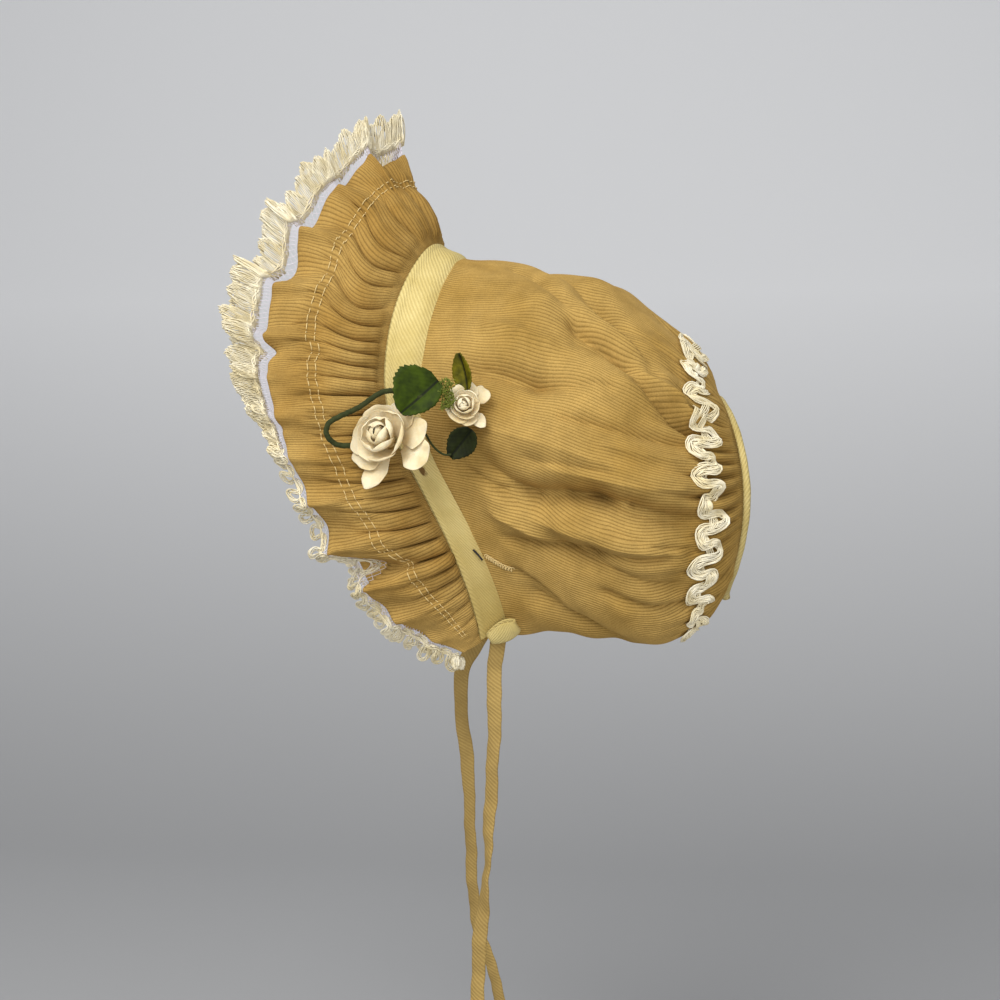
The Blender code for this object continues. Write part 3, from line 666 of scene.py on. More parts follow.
def thick_sheet(points, thickness):
    """Points and faces of a closed sheet round a grid of points, with its rims closed."""
    normals = unit(np.cross(np.gradient(points, axis=1), np.gradient(points, axis=0)))
    rows, columns = points.shape[:2]
    both = np.concatenate([points + normals * thickness / 2, points - normals * thickness / 2])
    back = rows * columns
    faces = grid_faces(rows, columns) + grid_faces(rows, columns, back, flip=True)
    rim = list(range(columns))
    rim += [row * columns + columns - 1 for row in range(1, rows)]
    rim += [(rows - 1) * columns + column for column in range(columns - 2, -1, -1)]
    rim += [row * columns for row in range(rows - 2, 0, -1)]
    for here, onward in zip(rim, rim[1:] + rim[:1]):
        faces.append([onward, here, here + back, onward + back])
    return both.reshape(-1, 3), faces


share, rib_lift, rib_shade = rib_columns(DISC_RIBS)
disc_radius = DISC_RADIUS - DISC_INSET
disc_x = disc_radius * (2 * share - 1) * 0.999
half_height = np.sqrt(disc_radius ** 2 - disc_x ** 2)
lowest = np.maximum(-half_height, disc_radius * math.cos(math.radians(DISC_END_ANGLE)))
up = np.linspace(1, 0, DISC_STEPS)[:, None]
disc_z = lowest + (half_height - lowest) * up
disc_x = np.broadcast_to(disc_x, disc_z.shape)
radius = np.hypot(disc_x, disc_z) / DISC_RADIUS
disc_y = DISC_CENTRE_Y - DISC_BEND * (disc_z / DISC_RADIUS) ** 2 + DISC_BEHIND
disc_y = disc_y + DISC_DOME * np.clip(1 - radius ** 2, 0, 1)
disc_y = disc_y + DISC_RIPPLE * np.sin(disc_x / 6 + disc_z / 9)
middle = np.stack([disc_x, disc_y + rib_lift, disc_z + DISC_CENTRE_Z], axis=-1)
points, faces = thick_sheet(middle, CLOTH_WALL)
disc_cloth = new_piece(
    "back_disc_cloth", points, faces, crown_corduroy, "corduroy",
    rib=np.broadcast_to(rib_shade, (2 * DISC_STEPS, len(share))), replaced="back_disc",
)

# Back binding
# Pale cotton bias tape folded over the gathered edge of the crown and sewn round the disc.
BINDING_RADIUS = 1.3
BINDING_OUT = 2.0
BINDING_FROM_DEPTH = 0.955
BINDING_STATIONS = 260
BINDING_SIDES = 12

# The band's tape has kept its pale yellow, and its twill shows as fine slanting lines
band_tape = tape_finish("cotton_bias_tape", "#d0bd80", "#a89253", "#bda866", 1.05, 52)
arc = np.linspace(-1, 1, BINDING_STATIONS)
onward = unit(crown_base(arc, 1.0) - crown_base(arc, BINDING_FROM_DEPTH))
route = disc_loop(arc) + onward * BINDING_OUT
swell = BINDING_RADIUS * (1 + 0.03 * np.sin(61 * arc) + 0.04 * np.sin(23 * arc + 1))
points, faces = strands(route[None], swell[None], BINDING_SIDES)
run = np.repeat(arc * ARC_LENGTH * 0.55, BINDING_SIDES)
around = np.arange(BINDING_SIDES) * 2 * np.pi * BINDING_RADIUS / BINDING_SIDES
around = np.tile(around, BINDING_STATIONS)
new_piece(
    "back_binding_tape", points, faces, band_tape, "bias_tape", (run, around),
    replaced="back_binding",
)

# Front band
# The same bias tape, laid flat over the seam between crown and frill. It is folded under at both
# edges, so it stands up round and soft. A brown spot marks it below the flowers.
BAND_START = -2.6
BAND_WIDTH = 12.0
BAND_NARROWING = 2.2
BAND_NARROW_ARC = 0.3
BAND_NARROW_SPREAD = 0.35
BAND_UNDERSIDE = 0.7
BAND_BLEND = 3.0
BAND_ARC = 0.985
BAND_STATIONS = 420
BAND_LIFTS = (1.45, 1.95, 2.15, 2.20, 2.15, 2.10, 2.02, 2.06, 2.05, 1.98, 1.75, 1.25, 0.70)
FRILL_START = 1.3
FRILL_BULGE = 4.0
BULGE_LEAN = 8.0
LACE_REACH = 0.5
SPOT_ARC = 0.618
SPOT_ACROSS = 5.0
SPOT_SIZE = 2.0
STAIN_START = 95.0
STAIN_FULL = 135.0
BAND_ARC_MM = 149.0


def frill_base(arc, reach):
    """Smooth frill: reach is 0 at the seam, 1 at the frill's edge and 1.5 at the lace's edge."""
    arc, reach = np.broadcast_arrays(np.asarray(arc, float), np.asarray(reach, float))
    seam = face_loop("seam", arc)
    edge = face_loop("edge", arc)
    lace = face_loop("lace", arc)
    inner = np.clip(reach, 0.0, 1.0)[..., None]
    outer = np.clip((reach - 1.0) / LACE_REACH, 0.0, 1.2)[..., None]
    away = unit(edge - seam)
    above = seam[..., 2] - PUFF_AXIS_Z
    round_out = np.stack([seam[..., 0], np.full_like(arc, BULGE_LEAN), above], axis=-1)
    bulge = unit(round_out) * FRILL_BULGE * np.sin(np.pi * inner) * fade_to_neck(arc)[..., None]
    start = seam + away * FRILL_START
    return hang(start + (edge - start) * inner + (lace - edge) * outer + bulge)


def band_surface(arc, across, lift):
    """Point on the band, at a distance back from the seam. Before the seam it lies on the frill."""
    arc, across, lift = np.broadcast_arrays(arc, across, lift)
    back = np.linalg.norm(disc_loop(arc) - face_loop("seam", arc), axis=-1)
    out = np.linalg.norm(face_loop("edge", arc) - face_loop("seam", arc), axis=-1)
    on_crown = crown_base(arc, np.clip(across, 0, None) / back)
    ahead = unit(frill_base(arc, 0.08) - frill_base(arc, 0.0))
    ahead = ahead * np.clip(-across, 0, None)[..., None]
    crown_side = normals_of(crown_base, arc, np.clip(across / back, 0.004, 1))
    frill_side = -normals_of(frill_base, arc, np.clip(-across / out, 0.004, 1))
    share = np.clip((across + BAND_BLEND) / (2 * BAND_BLEND), 0, 1)[..., None]
    share = share * share * (3 - 2 * share)
    normal = unit(crown_side * share + frill_side * (1 - share))
    return on_crown + ahead + normal * lift[..., None]


# The same tape, with a rust spot with a ragged edge and lower ends yellowed by wear
spotted_tape = tape_finish("cotton_bias_tape_with_spot", "#d6c384", "#ad9757", "#c2ad6a", 1.05, 52)
tree = spotted_tape.node_tree
shader = tree.nodes["Principled BSDF"]
under = shader.inputs["Base Color"].links[0].from_socket
cloth_place = add_node(tree, "ShaderNodeAttribute", attribute_name="cloth")
spot_place = {0: cloth_place.outputs["Vector"], 1: (SPOT_ARC * BAND_ARC_MM, SPOT_ACROSS, 0)}
away = add_node(tree, "ShaderNodeVectorMath", spot_place, operation="DISTANCE")
ragged = add_node(tree, "ShaderNodeTexNoise", {
    "Vector": cloth_place.outputs["Vector"], "Scale": 0.9, "Detail": 3.0,
})
spot_edge = {0: ragged.outputs["Fac"], 1: 2.0, 2: away.outputs["Value"]}
reach_of_spot = add_node(tree, "ShaderNodeMath", spot_edge, operation="MULTIPLY_ADD")
mask = add_node(tree, "ShaderNodeMapRange", {
    "Value": reach_of_spot.outputs["Value"],
    "From Min": SPOT_SIZE + 0.7, "From Max": SPOT_SIZE + 1.5, "To Min": 0.9, "To Max": 0.0,
})
along_band = add_node(tree, "ShaderNodeSeparateXYZ", {"Vector": cloth_place.outputs["Vector"]})
low_end = add_node(tree, "ShaderNodeMapRange", {
    "Value": along_band.outputs["X"], "From Min": STAIN_START, "From Max": STAIN_FULL,
    "To Min": 0.0, "To Max": 0.75,
})
mixed = {"Factor": low_end.outputs["Result"], 6: under, 7: linear("#a38b4a")}
yellowed = add_node(tree, "ShaderNodeMix", mixed, data_type="RGBA")
mixed = {"Factor": mask.outputs["Result"], 6: yellowed.outputs[2], 7: linear("#5f3d14")}
marked = add_node(tree, "ShaderNodeMix", mixed, data_type="RGBA")
feed(tree, shader, {"Base Color": marked.outputs[2]})

arc = np.linspace(-BAND_ARC, BAND_ARC, BAND_STATIONS)
width_line = np.linspace(0, 1, len(BAND_LIFTS))
soft = 0.12 * np.sin(31 * arc + 1) + 0.08 * np.sin(83 * arc)
low = np.clip((np.abs(arc) - BAND_NARROW_ARC) / BAND_NARROW_SPREAD, 0, 1)
band_width = BAND_WIDTH - BAND_NARROWING * low * low * (3 - 2 * low)
across = BAND_START + band_width * width_line[:, None] + 0.2 * np.sin(19 * arc)
lift = np.array(BAND_LIFTS)[:, None] + soft * np.sin(np.pi * width_line)[:, None]
band_points = band_surface(arc, across, lift)
lining = band_surface(arc, across, np.full(across.shape, BAND_UNDERSIDE))
band_faces = grid_faces(*across.shape) + grid_faces(*across.shape, across.size, flip=True)
band = new_piece(
    "front_band_tape", np.concatenate([band_points, lining]), band_faces, spotted_tape, "bias_tape",
    (arc * BAND_ARC_MM, width_line[:, None] * BAND_WIDTH), replaced="front_band",
)

# Frill
# A strip of the same corduroy, folded double along its outer edge, gathered under the band and
# again by two rows of stitching. Its ribs run across it, from band to edge.
FRILL_FLUTES = 28
# Reach, and height of the flutes there
FLUTE_ROWS = ((0.0, 0.1), (0.1, 0.3), (0.3, 0.6), (0.58, 0.6), (0.8, 1.6), (1.0, 2.3), (1.2, 1.7),
              (1.5, 1.1))
FLUTE_WANDER = 0.5
FLUTE_WANDER_RATE = 5.0
FLUTE_UNEVENNESS = 0.3
FLUTE_CALM = 0.5
FLUTE_CALM_ARC = 0.53
FLUTE_CALM_SPREAD = 0.11
FLUTE_UNEVEN_RATE = 11.0
FLUTE_LEAN = 1.3
TOP_DIP = 2.0
TOP_DIP_ARC = 0.13
ROLLS = 62
# Reach, and height of the rolls there
ROLL_ROWS = ((0.0, 0.2), (0.07, 0.4), (0.13, 1.5), (0.24, 2.2), (0.38, 2.0), (0.5, 1.3),
             (0.58, 0.5), (0.66, 0.5), (0.74, 0.6), (0.86, 0.15), (1.0, 0.0), (1.5, 0.0))
ROLL_FULLNESS = 0.88
SWAY_ROLLS = 0.034
SWAY_ARC = 0.24
SWAY_SPREAD = 0.17
# Where the edge juts out, or is tucked in: arc, width in arc, change in reach and in lift
LOBE_COLUMNS = ("arc", "width", "reach", "lift")
LOBE_ROWS = (
    (0.150, 0.014, -0.05, -1.4),
    (0.262, 0.014, -0.06, -1.6),
    (0.392, 0.013, -0.09, -2.0),
    (0.540, 0.014, -0.03, -1.2),
    (0.650, 0.030, 0.03, 0.8),
    (0.740, 0.026, 0.15, 2.2),
    (0.781, 0.014, -0.34, -3.4),
    (0.838, 0.042, 0.04, 1.6),
)
ARC_MM = 175.0
# The frill's edge is about 510 mm long, so these ribs lie 0.9 mm apart
FRILL_RIBS = 590
FRILL_RIB_SHARE = 0.8
# Painted shade: share by which the frill darkens in the valleys of its rolls
ROLL_VALLEY_PAINTED_SHADE = 0.9
FRILL_STEPS = 31
FRILL_BACK_STEPS = 12
TUCK_BACK = 1.4
TUCK_LIFT = 0.75
HIDDEN_BACK = 1.2
HIDDEN_LIFT = -0.4
EDGE_FOLD_REACHES = (1.012, 1.018, 1.012)
EDGE_FOLD_LIFTS = (0.35, 0.0, -0.35)
EDGE_PUFF = 0.35
EDGE_PUFF_REACH = 0.93
EDGE_PUFF_SPREAD = 0.08
STITCH_REACH = 0.6
STITCH_SWING = 0.2
STITCH_SWING_ARC = 0.68
STITCH_ROW_GAP = 0.068
PUCKERS = 118
PUCKER_WIDTH = 0.10


def frill_surface(arc, reach, lift):
    """Frill, net or lace point, lifted along the smooth normal."""
    arc, reach, lift = np.broadcast_arrays(arc, reach, lift)
    arc = np.clip(arc, -LAST_ARC, LAST_ARC)
    inside = np.clip(reach, 1 - LAST_ACROSS, LAST_ACROSS)
    return frill_base(arc, reach) - normals_of(frill_base, arc, inside) * lift[..., None]


def lobes(arc, name):
    """Change in reach or lift at the frill's edge."""
    change = np.zeros_like(arc)
    for row in LOBE_ROWS:
        lobe = dict(zip(LOBE_COLUMNS, row))
        change = change + lobe[name] * bell(arc - lobe["arc"], lobe["width"])
    return change


def stitch_reach(arc):
    """How far from the seam the first row of gathering stitches runs."""
    swing = np.clip((np.abs(arc) - STITCH_SWING_ARC) / STITCH_SWING, 0, 1)
    return STITCH_REACH - STITCH_SWING * swing


def frill_rolls(arc, reach):
    """Height and turn of the tight rolls between the stitches and the band."""
    reaches, heights = zip(*ROLL_ROWS)
    uneven = 1 + 0.35 * np.sin(17.0 * arc + 1.0) + 0.2 * np.sin(41.0 * arc)
    near_stitches = reach - stitch_reach(arc) + STITCH_REACH
    roll = np.interp(np.where(reach < 0.9, near_stitches, reach), reaches, heights) * uneven
    roll = roll * np.clip((reach - 0.03) / 0.1, 0.12, 1) * fade_to_neck(arc)
    turn = np.pi * ROLLS * arc + 1.9 * np.sin(9.0 * arc) + 1.3 * np.sin(27.0 * arc + 2.0)
    return roll, turn + 0.8 * np.sin(5.0 * reach + 15.0 * arc)


def gathered_frill(arc, reach, off):
    """Point of the gathered frill, off its middle by some millimetres.

    Broad leaning flutes at the edge turn into tight rolls between the stitches and the band. Each
    wave also slips sideways, which makes its top round and the valley beside it narrow.
    """
    arc, reach, off = np.broadcast_arrays(np.asarray(arc, float), np.asarray(reach, float), off)
    fade = fade_to_neck(arc)
    reaches, heights = zip(*FLUTE_ROWS)
    uneven = 1 + FLUTE_UNEVENNESS * np.sin(FLUTE_UNEVEN_RATE * arc)
    flute = np.interp(reach, reaches, heights) * uneven * fade
    flute = flute * (1 - FLUTE_CALM * bell(np.abs(arc) - FLUTE_CALM_ARC, FLUTE_CALM_SPREAD))
    turn = np.pi * FRILL_FLUTES * (arc + 1.0) + FLUTE_WANDER * np.sin(FLUTE_WANDER_RATE * arc + 1.0)
    roll, roll_turn = frill_rolls(arc, reach)
    pull = bell(reach - stitch_reach(arc) - STITCH_ROW_GAP / 2, PUCKER_WIDTH) * fade
    pucker_turn = np.pi * PUCKERS * arc + 2.0 * np.sin(21 * arc)
    juts = np.clip(reach, 0, 1) ** 2
    step = np.sin(turn) + 0.35 * np.sin(2 * turn)
    height = flute * step + roll * pleat(roll_turn) + pull * (0.55 * np.cos(pucker_turn) - 0.7)
    height = height + lobes(arc, "lift") * juts
    height = height - TOP_DIP * bell(arc, TOP_DIP_ARC) * np.sin(np.pi * np.clip(reach, 0, 1))
    slip = 0.45 * flute * np.sin(turn + FLUTE_LEAN)
    fullness = ROLL_FULLNESS * np.minimum(roll, 1.0) * ARC_MM / (np.pi * ROLLS)
    slip = slip + fullness * np.sin(roll_turn)
    slip = slip + 0.5 * pull * np.sin(pucker_turn)
    sway = SWAY_ROLLS * np.sin(np.pi * np.clip(reach / (STITCH_REACH + 0.02), 0, 1)) ** 1.3
    sway = sway * bell(np.abs(arc) - SWAY_ARC, SWAY_SPREAD) * np.sign(arc)
    reach = reach + lobes(arc, "reach") * juts
    return frill_surface(arc + slip / ARC_MM + sway, reach, height + off)


# Frill stains and groove colour are darker than the crown's; the groove colour is painted shade
frill_corduroy = corduroy_finish(
    "pinwale_corduroy_stained", "#b99755", "#634b1f", "#9b7738", (0.38, 0.66),
)
share, rib_lift, rib_shade = rib_columns(FRILL_RIBS)
rib_lift = rib_lift * FRILL_RIB_SHARE
arc_line = 2 * share - 1
arc, reach = np.meshgrid(arc_line, np.linspace(0, 1, FRILL_STEPS))
puff_edge = EDGE_PUFF * bell(reach - EDGE_PUFF_REACH, EDGE_PUFF_SPREAD)
outer_face = gathered_frill(arc, reach, CLOTH_WALL / 2 + puff_edge + rib_lift)
roll, roll_turn = frill_rolls(arc, reach)
# Painted shade in the valleys of the rolls, added to that of the rib grooves
outer_shade = rib_shade * (1 - ROLL_VALLEY_PAINTED_SHADE * np.clip(-pleat(roll_turn) * roll / 1.5, 0, 1))
fold_reach = np.array(EDGE_FOLD_REACHES)[:, None]
fold_lift = np.array(EDGE_FOLD_LIFTS)[:, None]
fold_edge = gathered_frill(arc_line, fold_reach, fold_lift)
arc, reach = np.meshgrid(arc_line, np.linspace(1, 0, FRILL_BACK_STEPS))
inner_face = gathered_frill(arc, reach, -CLOTH_WALL / 2 - rib_lift)
seam_to_disc = np.linalg.norm(disc_loop(arc_line) - face_loop("seam", arc_line), axis=-1)
tucked = crown_surface(arc_line, TUCK_BACK / seam_to_disc, TUCK_LIFT + rib_lift / 2)
hidden = crown_surface(arc_line, HIDDEN_BACK / seam_to_disc, np.full(arc_line.shape, HIDDEN_LIFT))
frill_points = np.concatenate([tucked[None], outer_face, fold_edge, inner_face, hidden[None]])
frill_shade = np.array(np.broadcast_to(rib_shade, frill_points.shape[:2]))
frill_shade[1:1 + FRILL_STEPS] = outer_shade
frill_cloth = new_piece(
    "frill_cloth", frill_points, grid_faces(*frill_points.shape[:2], flip=True), frill_corduroy,
    "frill_corduroy", rib=frill_shade, replaced="front_ruffle",
)

# Gathering stitches
# Two rows of pale machine stitching that draw the frill in. Each stitch lies on the cloth and dips
# into it at both ends, on both faces of the frill.
STITCHES = 232
STITCH_SHARE = 0.7
STITCH_POINTS = 6
STITCH_RADIUS = 0.14
STITCH_SIDES = 5
STITCH_LAST_ARC = 0.955
STITCH_ARCH = 0.24
STITCH_SINK = 0.12
STITCH_OFF = 0.8

# Spun cotton thread is smoother and paler than the pile round it
thread_finish = start_finish("pale_cotton_thread", 0.7, 0.1, "#fff4cf", colour="#d6bb7e")[0]
step = 2 / STITCHES
starts = -1 + step * (np.arange(STITCHES) + 0.5)
starts = starts[np.abs(starts) < STITCH_LAST_ARC]
along = np.linspace(0, 1, STITCH_POINTS)
arc = starts[:, None] + step * STITCH_SHARE * along
rise = STITCH_ARCH * np.sin(np.pi * along) ** 0.5 - STITCH_SINK
routes = []
for row_gap in (0.0, STITCH_ROW_GAP):
    for face in (1, -1):
        wobble = 0.006 * np.sin(60 * arc + row_gap * 90) + 0.004 * np.sin(173 * arc)
        reach = stitch_reach(arc) + row_gap + wobble
        routes.append(gathered_frill(arc, reach, face * (STITCH_OFF + rise)))
points, faces = strands(np.concatenate(routes), STITCH_RADIUS, STITCH_SIDES)
new_piece("gathering_stitches", points, faces, thread_finish, "frill_corduroy")

# Net strip
# Fine cotton tulle, gathered between the frill and the lace. It is made thread by thread, and the
# threads lie about 1 mm apart, coarser than real ones.
NET_START = 0.93
NET_END = 0.20
NET_THREADS = 460
NET_POINTS = 8
NET_SLANT = 0.012
NET_RADIUS = 0.07
NET_APART = 0.08
NET_LIFT = -0.25
NET_LAST_ARC = 0.98
NET_EDGE_ARC = 0.985
NET_EDGE_POINTS = 900
NET_EDGE_LIFT = -0.2


def joined(*parts):
    """Points and faces of several meshes as one."""
    faces = []
    start = 0
    for part_points, part_faces in parts:
        faces += [[corner + start for corner in face] for face in part_faces]
        start += len(part_points)
    return np.concatenate([part_points for part_points, _ in parts]), faces


# Cotton tulle is matt, and its greyish white looks lilac beside the warm corduroy
net_finish = start_finish("cotton_tulle", 0.8, 0.1, "#efe6ee", colour="#ece5ee")[0]
along = np.linspace(0, 1, NET_POINTS)
starts = np.linspace(-NET_LAST_ARC, NET_LAST_ARC, NET_THREADS)[:, None]
reach = NET_START + (1.0 + NET_END - NET_START) * along
ways = []
for way in (1, -1):
    slanted = starts + way * NET_SLANT * (along - 0.5)
    ways.append(gathered_frill(slanted, reach, way * NET_APART + NET_LIFT))
edge_arc = np.linspace(-NET_EDGE_ARC, NET_EDGE_ARC, NET_EDGE_POINTS)
net_edge = gathered_frill(edge_arc, 1.0 + NET_END, NET_EDGE_LIFT)[None]
points, faces = joined(
    strands(np.concatenate(ways), NET_RADIUS, 3),
    strands(net_edge, 2 * NET_RADIUS, 4),
)
new_piece("net_threads", points, faces, net_finish, "cotton_net", replaced="net_strip")

# Lace edging
# Ruched rayon lace. Round the top it stands out in flat overlapping tufts of shiny parallel
# threads, and towards the neck it narrows to an open zigzag of twisted ones. A thin heading joins it
# to the net.
TUFT_LAST_ARC = 0.60
TUFT_PITCH = 0.0215
TUFT_THREADS = 14
TUFT_POINTS = 14
TUFT_START = 1.13
TUFT_END = 1.50
TUFT_BASE_HALF = 2.5
TUFT_BELLY_HALF = 3.5
TUFT_TIP_HALF = 2.9
TUFT_ROUNDING = 0.20
TUFT_ARCH = 1.2
TUFT_RADIUS = 0.18
TUFT_LOOSENESS = 0.36
LOOP_START_ARC = 0.575
LOOP_LAST_ARC = 0.99
LOOP_LEGS = 40
LOOP_POINTS = 12
LOOP_THREADS = 6
LOOP_BUNDLE = 0.36
LOOP_THREAD_RADIUS = 0.17
LOOP_TWISTS = 0.7
LOOP_HEIGHT = 0.31
LOOP_LEAN = 0.33
LOOP_CRINKLE = 0.12
HEADING_REACH = 1.17
HEADING_ARC = 0.985
HEADING_POINTS = 1300
HEADING_THREADS = 3
HEADING_GAP = 0.012
HEADING_LIFT = 0.35
HEADING_RADIUS = 0.2


def tufts(centres, tilt_way, deep, short):
    """Threads of a row of tufts: out from the heading, over the tip and a little way back."""
    place = np.linspace(-1, 1, TUFT_THREADS)[None, :, None]
    along = np.linspace(0, 1, TUFT_POINTS)[None, None, :]
    centre = centres[:, None, None]
    number = np.arange(len(centres))[:, None, None]
    loose = np.random.default_rng(7).uniform(-1, 1, (3,) + (len(centres), TUFT_THREADS, 1))
    out = np.sin(np.pi / 2 * np.clip(along / 0.8, 0, 1))
    back = np.clip((along - 0.8) / 0.2, 0, 1)
    length = 1 - TUFT_ROUNDING * place ** 2 + 0.08 * np.sin(2.3 * number + 1) + 0.035 * loose[0]
    reach = TUFT_START + (TUFT_END - TUFT_START) * length * (1 - short) * (out - 0.14 * back)
    half = spline((0.0, 0.55, 1.0), (TUFT_BASE_HALF, TUFT_BELLY_HALF, TUFT_TIP_HALF), out)
    crinkle = 0.16 * np.sin(13 * along + 5 * place + number)
    crinkle = crinkle + 0.10 * np.sin(27 * along + 9 * loose[1])
    side = place * half + 0.7 * np.sin(1.7 * number + 0.4) * out + crinkle
    shingle = tilt_way * place * (0.3 + 0.25 * out) * (0.8 + 0.3 * np.sin(3.1 * number))
    arch = TUFT_ARCH * (1 + 0.3 * np.sin(1.3 * number)) * (1 - 0.8 * place ** 2)
    lift = arch * np.sin(np.pi * np.clip(along / 0.95, 0, 1)) ** 0.8 + shingle - deep - 0.8 * back
    lift = lift + TUFT_LOOSENESS * loose[2] * np.sin(np.pi * along) + 0.8 * crinkle
    taper = np.clip((TUFT_LAST_ARC + 0.02 - np.abs(centre)) / 0.12, 0.45, 1)
    reach = TUFT_START + (reach - TUFT_START) * taper ** 0.3
    ends = (centre + step + 0 * side for step in (-NORMAL_STEP, NORMAL_STEP))
    before, after = (gathered_frill(end, 1 + NET_END + 0 * reach, 0.0) for end in ends)
    routes = gathered_frill(centre + 0 * side, reach, lift)
    routes = routes + unit(after - before) * (side * taper)[..., None]
    return routes.reshape(-1, TUFT_POINTS, 3)


def beside(centre, normal, across, up):
    """A route shifted sideways over the cloth and up off it."""
    side = unit(np.cross(unit(np.gradient(centre, axis=0)), normal))
    return centre + side * across[:, None] + normal * up[:, None]


def looped_cord(arc, reach, off):
    """Threads twisted loosely round a route over the frill, flattened towards it."""
    centre = gathered_frill(arc, reach, off)
    inside = np.clip(arc, -LAST_ARC, LAST_ARC)
    normal = -normals_of(frill_base, inside, np.full(arc.shape, LAST_ACROSS))
    place = np.arange(len(arc)) / LOOP_POINTS
    routes = []
    for thread in range(LOOP_THREADS):
        angle = 2 * np.pi * (thread / LOOP_THREADS + LOOP_TWISTS * place)
        waver = LOOP_CRINKLE * np.sin(3.9 * place + 2.4 * thread)
        across = 1.5 * LOOP_BUNDLE * np.cos(angle) + waver
        routes.append(beside(centre, normal, across, 0.8 * LOOP_BUNDLE * np.sin(angle)))
    return np.stack(routes)


# Rayon is smooth, so each thread has a soft bright line along its top, on a cream gone uneven
lace_finish, tree, shader = start_finish("shiny_rayon_lace", 0.42, 0.1, "#fffbe8", 0.55)
feed(tree, shader, {"Base Color": mottled(tree, 5, (0.35, 0.65), "#f1e8cd", "#decfa4")})

centres = np.arange(-TUFT_LAST_ARC, TUFT_LAST_ARC, TUFT_PITCH)
centres = np.append(centres, [-0.984, 0.984])
rows_of_tufts = [tufts(centres, 1, 0.0, 0.0), tufts(centres + TUFT_PITCH / 2, -1, 1.2, 0.10)]
points, faces = strands(np.concatenate(rows_of_tufts), TUFT_RADIUS, 3)
new_piece("lace_tuft_threads", points, faces, lace_finish, "rayon_lace", replaced="lace_edging")

steps = np.linspace(0, LOOP_LEGS, LOOP_LEGS * LOOP_POINTS + 1)
zigzags = []
for side in (1, -1):
    way = (LOOP_LAST_ARC - LOOP_START_ARC) * (steps + LOOP_LEAN * np.sin(2 * np.pi * steps))
    arc = LOOP_START_ARC + way / LOOP_LEGS
    swing = 0.5 - 0.5 * np.cos(np.pi * steps)
    tall = 1 + 0.25 * np.sin(2.9 * steps + side) + 0.15 * np.sin(1.3 * steps)
    reach = TUFT_START - 0.02 + LOOP_HEIGHT * swing * tall
    off = 0.5 * np.sin(np.pi * steps + 0.6) + 0.3 * np.sin(0.9 * steps)
    zigzags.append(looped_cord(side * arc, reach, off))
points, faces = strands(np.concatenate(zigzags), LOOP_THREAD_RADIUS, 3)
new_piece("lace_zigzag_threads", points, faces, lace_finish, "rayon_lace")

heading_arc = np.linspace(-HEADING_ARC, HEADING_ARC, HEADING_POINTS)
headings = []
for heading in range(HEADING_THREADS):
    reach = HEADING_REACH + HEADING_GAP * heading + 0.01 * np.sin(420 * heading_arc + 2 * heading)
    headings.append(gathered_frill(heading_arc, reach, HEADING_LIFT))
points, faces = strands(np.stack(headings), HEADING_RADIUS, 3)
new_piece("lace_heading_threads", points, faces, lace_finish, "rayon_lace")

# Back braid
# The same shiny lace narrowed to a thick zigzag braid, sewn flat over the gathers in front of the
# disc. Its threads bridge the valleys between the gathers.
BRAID_DEPTH = 0.895
BRAID_HALF_WIDTH = 0.030
BRAID_ARC = 0.95
BRAID_DROP = 0.06
BRAID_DROP_START = 0.6
BRAID_WAVES = 27
BRAID_POINTS = 11
BRAID_THREADS = 9
BRAID_THREAD_GAP = 0.27
BRAID_THREAD_RADIUS = 0.21
BRAID_FILL_THREADS = 5
BRAID_FILL_SHARE = 0.5
BRAID_FILL_DROP = 0.3
BRAID_LIFT = 1.7
BRAID_LOWEST = -0.2


def braid_lift(arc, depth):
    """Height of the braid's middle, which follows the cloth but bridges its valleys."""
    return np.clip(crown_lift(arc, depth), BRAID_LOWEST, None) + BRAID_LIFT


at = np.linspace(0, 2 * BRAID_WAVES, 2 * BRAID_WAVES * BRAID_POINTS + 1)
arc = -BRAID_ARC + 2 * BRAID_ARC * (at + 0.20 * np.sin(2 * np.pi * at)) / (2 * BRAID_WAVES)
arc = np.clip(arc, -BRAID_ARC, BRAID_ARC)
drop = BRAID_DROP * np.clip((np.abs(arc) - BRAID_DROP_START) / (1 - BRAID_DROP_START), 0, 1)
uneven = 1 + 0.25 * np.sin(2.3 * at + 1) + 0.15 * np.sin(0.71 * at)
depth = BRAID_DEPTH - drop + BRAID_HALF_WIDTH * np.cos(np.pi * at) * uneven
centre = crown_surface(arc, depth, braid_lift(arc, depth) + 0.2 * np.sin(1.7 * np.pi * at))
normal = normals_of(crown_base, arc, np.clip(depth, 0, LAST_ACROSS))
widths = 0.95 + 0.5 * np.sin(np.pi * at / 2 + 0.8) ** 2 + 0.2 * np.sin(3.1 * at)
braid_routes = []
for thread in range(BRAID_THREADS):
    offset = (thread - (BRAID_THREADS - 1) / 2) * BRAID_THREAD_GAP * widths
    offset = offset + 0.11 * np.sin(11 * at + 2.4 * thread)
    crinkle = 0.22 * np.sin(14 * at + 0.7 * thread) + 0.16 * np.cos(5 * at + 1.7 * thread)
    braid_routes.append(beside(centre, normal, offset, crinkle))
for thread in range(BRAID_FILL_THREADS):
    swing = BRAID_HALF_WIDTH * BRAID_FILL_SHARE * (1 - 0.2 * thread)
    fill_depth = BRAID_DEPTH - drop + swing * np.cos(np.pi * at + 0.25 * thread) * uneven
    fill_lift = braid_lift(arc, fill_depth) - BRAID_FILL_DROP + 0.2 * np.sin(7 * at + thread)
    braid_routes.append(crown_surface(arc, fill_depth, fill_lift))
points, faces = strands(np.stack(braid_routes), BRAID_THREAD_RADIUS, 5)
new_piece("back_braid_threads", points, faces, lace_finish, "rayon_lace", replaced="back_braid")

